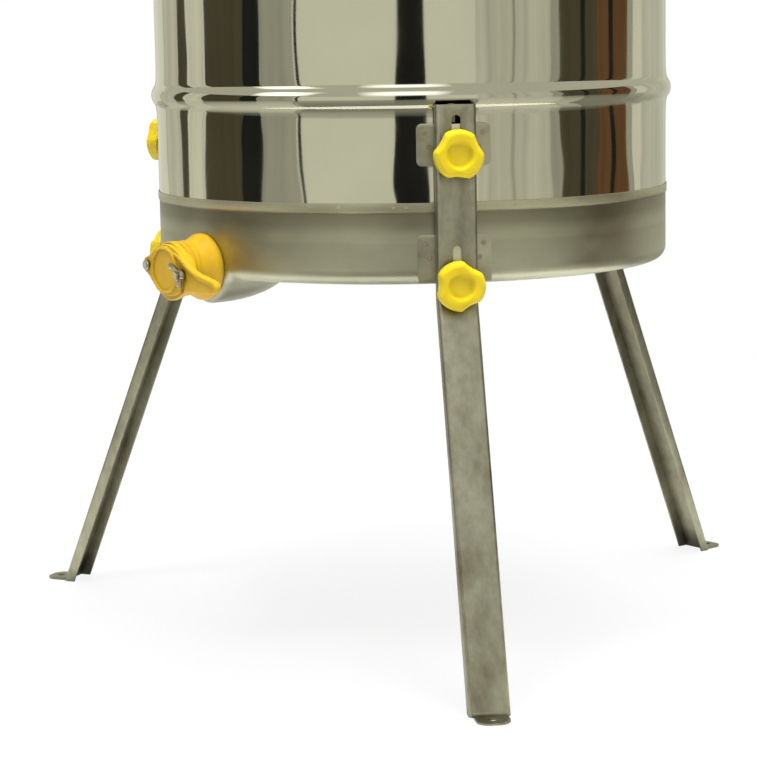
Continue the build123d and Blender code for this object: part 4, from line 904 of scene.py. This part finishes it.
def flange():
    """Lozenge flange with rounded edges and a round bore, deeper below than above."""
    place = gate_place()
    lobe = [(39.5, 0.0), (38.6, 7.4), (33.6, 13.6), (24.0, 18.8), (13.0, 24.2), (0.0, 27.3)]
    ear = [(-13.0, 23.6), (-22.5, 16.2), (-31.8, 9.4), (-37.4, 5.6), (-39.5, 0.0)]
    above = lobe + ear
    below = [(x, -FLANGE_DROP * y) for x, y in above[-2:0:-1]]
    outline = with_normals(spline(above + below, 8))
    levels = [(1.2, 0.0), (0.4, 0.3), (0.0, 1.0), (0.0, 5.6), (0.3, 6.5), (1.0, 7.0)]
    points = []
    for x, y, nx, ny in outline:
        around = math.atan2(y, x)
        section = [(x - inset * nx, y - inset * ny, FLANGE_BACK + out) for inset, out in levels]
        bore = (FLANGE_BORE * math.cos(around), FLANGE_BORE * math.sin(around))
        section += [(*bore, FLANGE_FRONT), (*bore, FLANGE_BACK)]
        points += [place @ (Vector(p) * MM) for p in section]
    return points, grid_faces(len(outline), len(levels) + 2, (True, True))


def gate_plate_edge():
    """Edge of the gate plate in millimetres: handle, disc, pivot ear, and the slot round the clamp bolt."""
    handle = [(32.6, -16.6), (38.0, -15.4), (58.0, -12.6), (81.0, -10.6), (87.8, -8.0), (90.0, -3.4),
              (87.8, 1.4), (81.0, 3.4), (57.0, 6.0), (44.0, 9.4), (33.0, 14.8), (22.0, 20.4), (12.0, 24.0)]
    disc = [(0.0, 25.2), (-12.0, 22.4), (-22.0, 15.6), (-30.0, 9.4), (-36.4, 6.6)]
    mirrored = [(x, -y) for x, y in reversed(disc)]
    knots = handle + disc + [(-39.5, 0.0)] + mirrored + [(12.0, -24.0), (20.0, -21.2), (24.6, -19.4)]
    curve = spline(knots, 8, closed=False)
    # Points right beside the slot's two corners are left out, so that the inset edges don't cross there
    edge = curve[:1] + curve[3:-2] + knots[-1:]
    near, far = 2 * BOLT_SPREAD - BOLT_SLACK, 2 * BOLT_SPREAD + BOLT_SLACK
    near_turns = [math.radians(a) for a in steps(-18.0, -3.0, 5)]
    far_turns = [math.radians(a) for a in steps(-2.5, -12.5, 4)]
    edge += [(near * math.cos(a) - BOLT_SPREAD, near * math.sin(a)) for a in near_turns]
    edge += [(BOLT_SPREAD - BOLT_SLACK * math.cos(a), BOLT_SLACK * math.sin(a))
             for a in steps(0.0, math.pi, 12)]
    return edge + [(far * math.cos(a) - BOLT_SPREAD, far * math.sin(a)) for a in far_turns]


def gate_plate():
    """Gate plate with soft edges all round."""
    place = gate_place()
    outline = with_normals(gate_plate_edge())
    levels = [(0.7, 0.0), (0.2, 0.2), (0.0, 0.7), (0.0, 3.4), (0.25, 4.1), (0.9, 4.6)]
    count = len(levels)
    points = [place @ (Vector((x - inset * nx, y - inset * ny, PLATE_BACK + out)) * MM)
              for x, y, nx, ny in outline for inset, out in levels]
    rows = len(outline)
    caps = [tuple(range(level, rows * count, count)) for level in (0, count - 1)]
    return points, grid_faces(rows, count, (True, False)) + caps


def gate_rim():
    """Raised ring moulded on the plate's disc."""
    section = [(23.4, -0.5), (23.0, 0.8), (22.2, 1.7), (21.0, 2.0), (20.2, 1.6), (19.8, 0.7), (19.5, -0.5)]
    return turned(gate_place(), [(r, PLATE_FRONT + rise) for r, rise in section], 96)


def gate_ridge():
    """Rolled edge along the top of the handle, from the disc's rim round the tip."""
    knots = [(13.0, 18.4), (23.0, 15.6), (33.0, 11.2), (44.0, 6.2), (57.0, 2.8), (72.0, 1.2), (82.0, 0.4),
             (86.2, -1.4), (87.0, -4.2), (85.0, -6.8), (80.0, -7.6)]
    course = with_normals(spline(knots, 6, closed=False), closed=False)
    return roll(gate_place(), course, 2.7, 2.0, PLATE_FRONT - 0.3)


def roll(place, course, half_width, rise, out):
    """Rounded roll along a course in a face, with both ends tapered into it."""
    around = 12
    taper = 9
    last = len(course) - 1
    points = []
    for number, (x, y, nx, ny) in enumerate(course):
        share = min(1.0, (min(number, last - number) + 0.5) / taper)
        end = math.sqrt(1.0 - (1.0 - share) ** 2)
        for angle in circle(around):
            side = half_width * end * math.cos(angle)
            height = out + rise * end * math.sin(angle)
            points.append(place @ (Vector((x + nx * side, y + ny * side, height)) * MM))
    caps = [tuple(range(first, first + around)) for first in (0, last * around)]
    return points, grid_faces(last + 1, around, (False, True)) + caps


def wing(side, stations, around):
    """Points of one petal wing in millimetres, which rises as it spreads to a side."""
    across = Vector((-side * 0.74, 0.0, 0.67))
    points = []
    for s in steps(0.0, 1.0, stations):
        middle = Vector((side * (4.2 + 9.8 * s), 0.0, 2.8 + 7.6 * s**1.2))
        taper = math.sqrt(max(0.0, 1.0 - max(0.0, (s - 0.55) / 0.45) ** 2))
        half_width = (2.4 + 3.2 * s) * taper
        half_thickness = (1.7 - 0.8 * s) * max(taper, 0.05)
        for angle in circle(around):
            lift = Vector((0.0, half_thickness * math.sin(angle), 0.0))
            points.append(middle + across * half_width * math.cos(angle) + lift)
    return points


def wing_nut():
    """Wing nut with a rounded hub and two petal wings."""
    place = gate_place() @ Matrix.Translation(Vector((BOLT_SPREAD, 0.0, NUT_SEAT)) * MM)
    place = place @ Matrix.Rotation(math.radians(WING_TURN), 4, "Z")
    hub = [(3.1, 0.0), (5.7, 0.0), (6.0, 0.5), (5.9, 2.2), (5.3, 4.8), (4.9, 5.7), (4.3, 6.0), (3.4, 6.0),
           (3.1, 5.7)]
    points, faces = turned(place, hub, 48)
    stations, around = 16, 16
    petal = grid_faces(stations + 1, around, (False, True)) + [tuple(range(around))]
    for side in (-1, 1):
        faces += [tuple(len(points) + k for k in face) for face in petal]
        points += [place @ (point * MM) for point in wing(side, stations, around)]
    return points, faces


def add_camera():
    """Camera at the photograph's place."""
    view = heading(CAMERA_AZIMUTH)
    up = Vector((0.0, 0.0, 1.0))
    pitch, roll_angle = math.radians(CAMERA_PITCH), math.radians(CAMERA_ROLL)
    forward = Matrix.Rotation(math.radians(-CAMERA_YAW), 3, "Z") @ -view * math.cos(pitch)
    forward.z = -math.sin(pitch)
    right = forward.cross(up).normalized()
    above = right.cross(forward)
    tilted_right = right * math.cos(roll_angle) + above * math.sin(roll_angle)
    tilted_up = above * math.cos(roll_angle) - right * math.sin(roll_angle)
    camera = add_object("camera", bpy.data.cameras.new("camera"))
    camera.data.lens = FOCAL_LENGTH
    camera.data.sensor_width = SENSOR_WIDTH
    turn = Matrix((tilted_right, tilted_up, -forward)).transposed()
    camera.matrix_world = Matrix.Translation(view * CAMERA_DISTANCE + up * CAMERA_HEIGHT) @ turn.to_4x4()
    bpy.context.scene.camera = camera


def floor_material():
    """Floor that shows white further out and keeps the object's shadow near it."""
    g = Finish("floor")
    g.set(Roughness=0.9, Specular_IOR_Level=0.0)
    glow = g.node("ShaderNodeEmission")
    path = g.node("ShaderNodeLightPath").outputs
    colour = g.ramp(path["Is Glossy Ray"], (0.0, (0.60, 0.60, 0.60)), (1.0, (0.68, 0.68, 0.58)))
    g.finish(colour)
    away = g.node("ShaderNodeVectorMath", operation="LENGTH")
    g.link(g.position(), away.inputs[0])
    white = g.spread(away.outputs["Value"], *FLOOR_WHITE, *FLOOR_WHITE_SPAN)
    seen = g.compute("MULTIPLY", path["Is Camera Ray"], white)
    indirect = g.compute("MAXIMUM", path["Is Glossy Ray"], path["Is Transmission Ray"])
    mix = g.node("ShaderNodeMixShader")
    g.link(g.compute("MAXIMUM", seen, g.compute("MULTIPLY", indirect, FLOOR_GLOW)), mix.inputs[0])
    g.link(g.shader.outputs[0], mix.inputs[1])
    g.link(glow.outputs[0], mix.inputs[2])
    g.link(mix.outputs[0], g.out.inputs[0])
    return g.material


def add_floor():
    mesh = bpy.data.meshes.new("floor")
    grid = bmesh.new()
    bmesh.ops.create_grid(grid, x_segments=1, y_segments=1, size=FLOOR_SIZE)
    grid.to_mesh(mesh)
    grid.free()
    mesh.materials.append(floor_material())
    add_object("floor", mesh)


def add_world():
    """White where it is seen, also in metal and glass, and softer as a light."""
    world = bpy.data.worlds.new("studio")
    bpy.context.scene.world = world
    world.use_nodes = True
    g = Graph(world.node_tree)
    path = g.node("ShaderNodeLightPath").outputs
    seen = g.compute("MAXIMUM", path["Is Camera Ray"], path["Is Glossy Ray"])
    seen = g.compute("MAXIMUM", seen, path["Is Transmission Ray"])
    background = world.node_tree.nodes["Background"].inputs
    background["Color"].default_value = (1.0, 1.0, 1.0, 1.0)
    g.link(g.spread(seen, WORLD_LIGHT, 1.0, 0.0, 1.0), background["Strength"])


def soft_light(name, azimuth, distance, height, size, power, window=False):
    """Square lamp that fades to its edges and looks at the drum; a window only shows in shiny surfaces."""
    lamp = bpy.data.lights.new(name, "AREA")
    lamp.shape = "SQUARE"
    lamp.size = size
    lamp.energy = power
    lamp.use_nodes = True
    g = Graph(lamp.node_tree)
    split = g.node("ShaderNodeSeparateXYZ")
    g.link(g.node("ShaderNodeNewGeometry").outputs["Parametric"], split.inputs[0])
    fade = LAMP_PEAK
    for across in split.outputs[:2]:
        fade = g.compute("MULTIPLY", fade, across)
        fade = g.compute("MULTIPLY", fade, g.compute("SUBTRACT", 1.0, across))
    g.link(fade, lamp.node_tree.nodes["Emission"].inputs["Strength"])
    obj = add_object(name, lamp)
    place = heading(CAMERA_AZIMUTH + azimuth) * distance + Vector((0.0, 0.0, height))
    look = Vector((0.0, 0.0, LAMP_AIM)) - place
    obj.matrix_world = Matrix.Translation(place) @ look.to_track_quat("-Z", "Y").to_matrix().to_4x4()
    obj.visible_diffuse = not window
    obj.visible_glossy = window
    obj.visible_transmission = window


def faded(g, near, far):
    """Colour that changes from one studio tone to another away from the object."""
    share = g.spread(g.radius(), 0.0, 1.0, GROUND_START, ROOM_RADIUS)
    return g.ramp(share, (0.0, STUDIO_TONES[near]), (1.0, STUDIO_TONES[far]))


def in_metal_only(name, points, faces, g, colour):
    """Piece of the studio that glows in a colour and is only seen in shiny surfaces."""
    mesh = bpy.data.meshes.new(name)
    mesh.from_pydata(points, [], faces)
    glow = g.node("ShaderNodeEmission")
    g.link(colour, glow.inputs["Color"])
    g.link(glow.outputs[0], g.out.inputs[0])
    mesh.materials.append(g.material)
    made = add_object(name, mesh)
    for rays in ("camera", "diffuse", "shadow", "transmission"):
        setattr(made, f"visible_{rays}", False)


def studio_ring(name, profile, near, far):
    """Part of the room round the object, turned from (radius, height) points, that fades from near to far."""
    points = []
    for i in range(ROOM_STEPS):
        points += standing(360.0 * i / ROOM_STEPS, profile)
    g = Finish(name)
    faces = grid_faces(ROOM_STEPS, len(profile), (True, False))
    in_metal_only(name, points, faces, g, faded(g, near, far))


def card(name, start, end, tone, near):
    """Standing card between two azimuths, with its reflection on the ground fading into the near tone."""
    count = max(1, round((end - start) / CARD_STEP))
    ground = 2 * GROUND_LIFT
    profile = ((GROUND_START, ground), (CARD_DISTANCE, ground), (CARD_DISTANCE, CARD_HEIGHT))
    points = []
    for azimuth in steps(start, end, count):
        points += standing(CAMERA_AZIMUTH + azimuth, profile)
    g = Finish(name)
    cloth = g.noise(g.stretched((5.0, 5.0, 0.25)), 1.0, 3.0)
    dark, pale = (shade(STUDIO_TONES[tone], 1.0 + fold) for fold in (-CARD_FOLDS, CARD_FOLDS))
    folds = g.ramp(cloth, (0.3, dark), (0.7, pale))
    upright = g.spread(g.radius(), 0.0, 1.0, GROUND_START, CARD_DISTANCE)
    colour = g.mixed(upright, faded(g, near, "soft"), folds)
    in_metal_only(name, points, grid_faces(count + 1, len(profile)), g, colour)


add_camera()
add_floor()
add_world()

# Lamps: azimuth counted from the camera, distance, height, size and power
soft_light("key", -40.0, 1.4, 3.9, 0.9, 84.0)
soft_light("front", 34.0, 1.6, 3.2, 1.4, 56.0)
soft_light("top", 90.0, 0.3, 3.6, 2.4, 160.0)
soft_light("back", 180.0, 1.6, 3.3, 1.8, 60.0)
soft_light("left_window", -59.0, 2.6, 2.1, 1.5, 7.5, window=True)
soft_light("front_window", -2.0, 2.6, 2.1, 2.0, 9.5, window=True)

# Room and cards: a card has two azimuths counted from the camera, its tone and that of the ground by it
studio_ring("studio_ground", ((GROUND_START, GROUND_LIFT), (ROOM_RADIUS, GROUND_LIFT)), "ground", "soft")
studio_ring("studio_wall", ((ROOM_RADIUS, 0.0), (ROOM_RADIUS, WALL_TOP)), "pale", "pale")
studio_ring("studio_ceiling", CEILING, "soft", "ceiling")
for number, (start, end, tone, near) in enumerate((
    (-140.0, -121.0, "soft", "pale"), (-121.0, -113.5, "brown", "pale"), (-113.5, -99.0, "pale", "pale"),
    (-99.0, -75.5, "brown", "pale"), (-75.5, -66.5, "black", "pale"), (-66.5, -50.0, "grey", "pale"),
    (-49.2, -47.8, "black", "soft"), (-5.5, 5.5, "black", "ground"), (27.0, 43.0, "soft", "pale"),
    (43.0, 44.2, "grey", "pale"), (44.2, 62.0, "soft", "pale"), (62.0, 66.0, "grey", "pale"),
    (66.0, 77.0, "brown", "soft"), (77.0, 79.5, "black", "ground"), (79.5, 86.0, "brown", "ground"),
    (86.0, 94.0, "umber", "ground"), (94.0, 97.0, "black", "ground"), (97.0, 107.0, "umber", "ground"),
    (107.0, 112.0, "grey", "ground"), (120.0, 200.0, "soft", "ground"),
)):
    card(f"studio_card_{number}", start, end, tone, near)

# Pieces with finer forms than the CAD nodes
drum_wall()
bottom_pan()
for leg in LEGS:
    for level in LEVELS:
        knob(leg, level)
for leg in LEGS:
    upper = bracket(leg, "upper")
    bracket(leg, "lower")
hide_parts("leg_brackets")
seam_marks()
for name, shape, body, replaced in (
    ("gate_body_skin", gate_body, "drum", ["gate_body"]),
    ("gate_flange", flange, "drum", []),
    ("gate_plate_skin", gate_plate, "gate", ["gate_plate"]),
    ("gate_rim", gate_rim, "gate", []),
    ("gate_ridge", gate_ridge, "gate", []),
):
    smoothed(build(name, *shape(), "amber_plastic", body, *replaced))
smoothed(build("wing_nut_skin", *wing_nut(), "fastener_steel", "wing_nut", "gate_wing_nut"))

# Softer edges and shading on the CAD nodes
for name, node in nodes.items():
    weld = node.modifiers.new("weld", "WELD")
    weld.merge_threshold = NODE_GAP
    if name in SOFT_EDGED:
        bevelled(node)
    smoothed(node)

bpy.context.scene.view_settings.view_transform = "Standard"
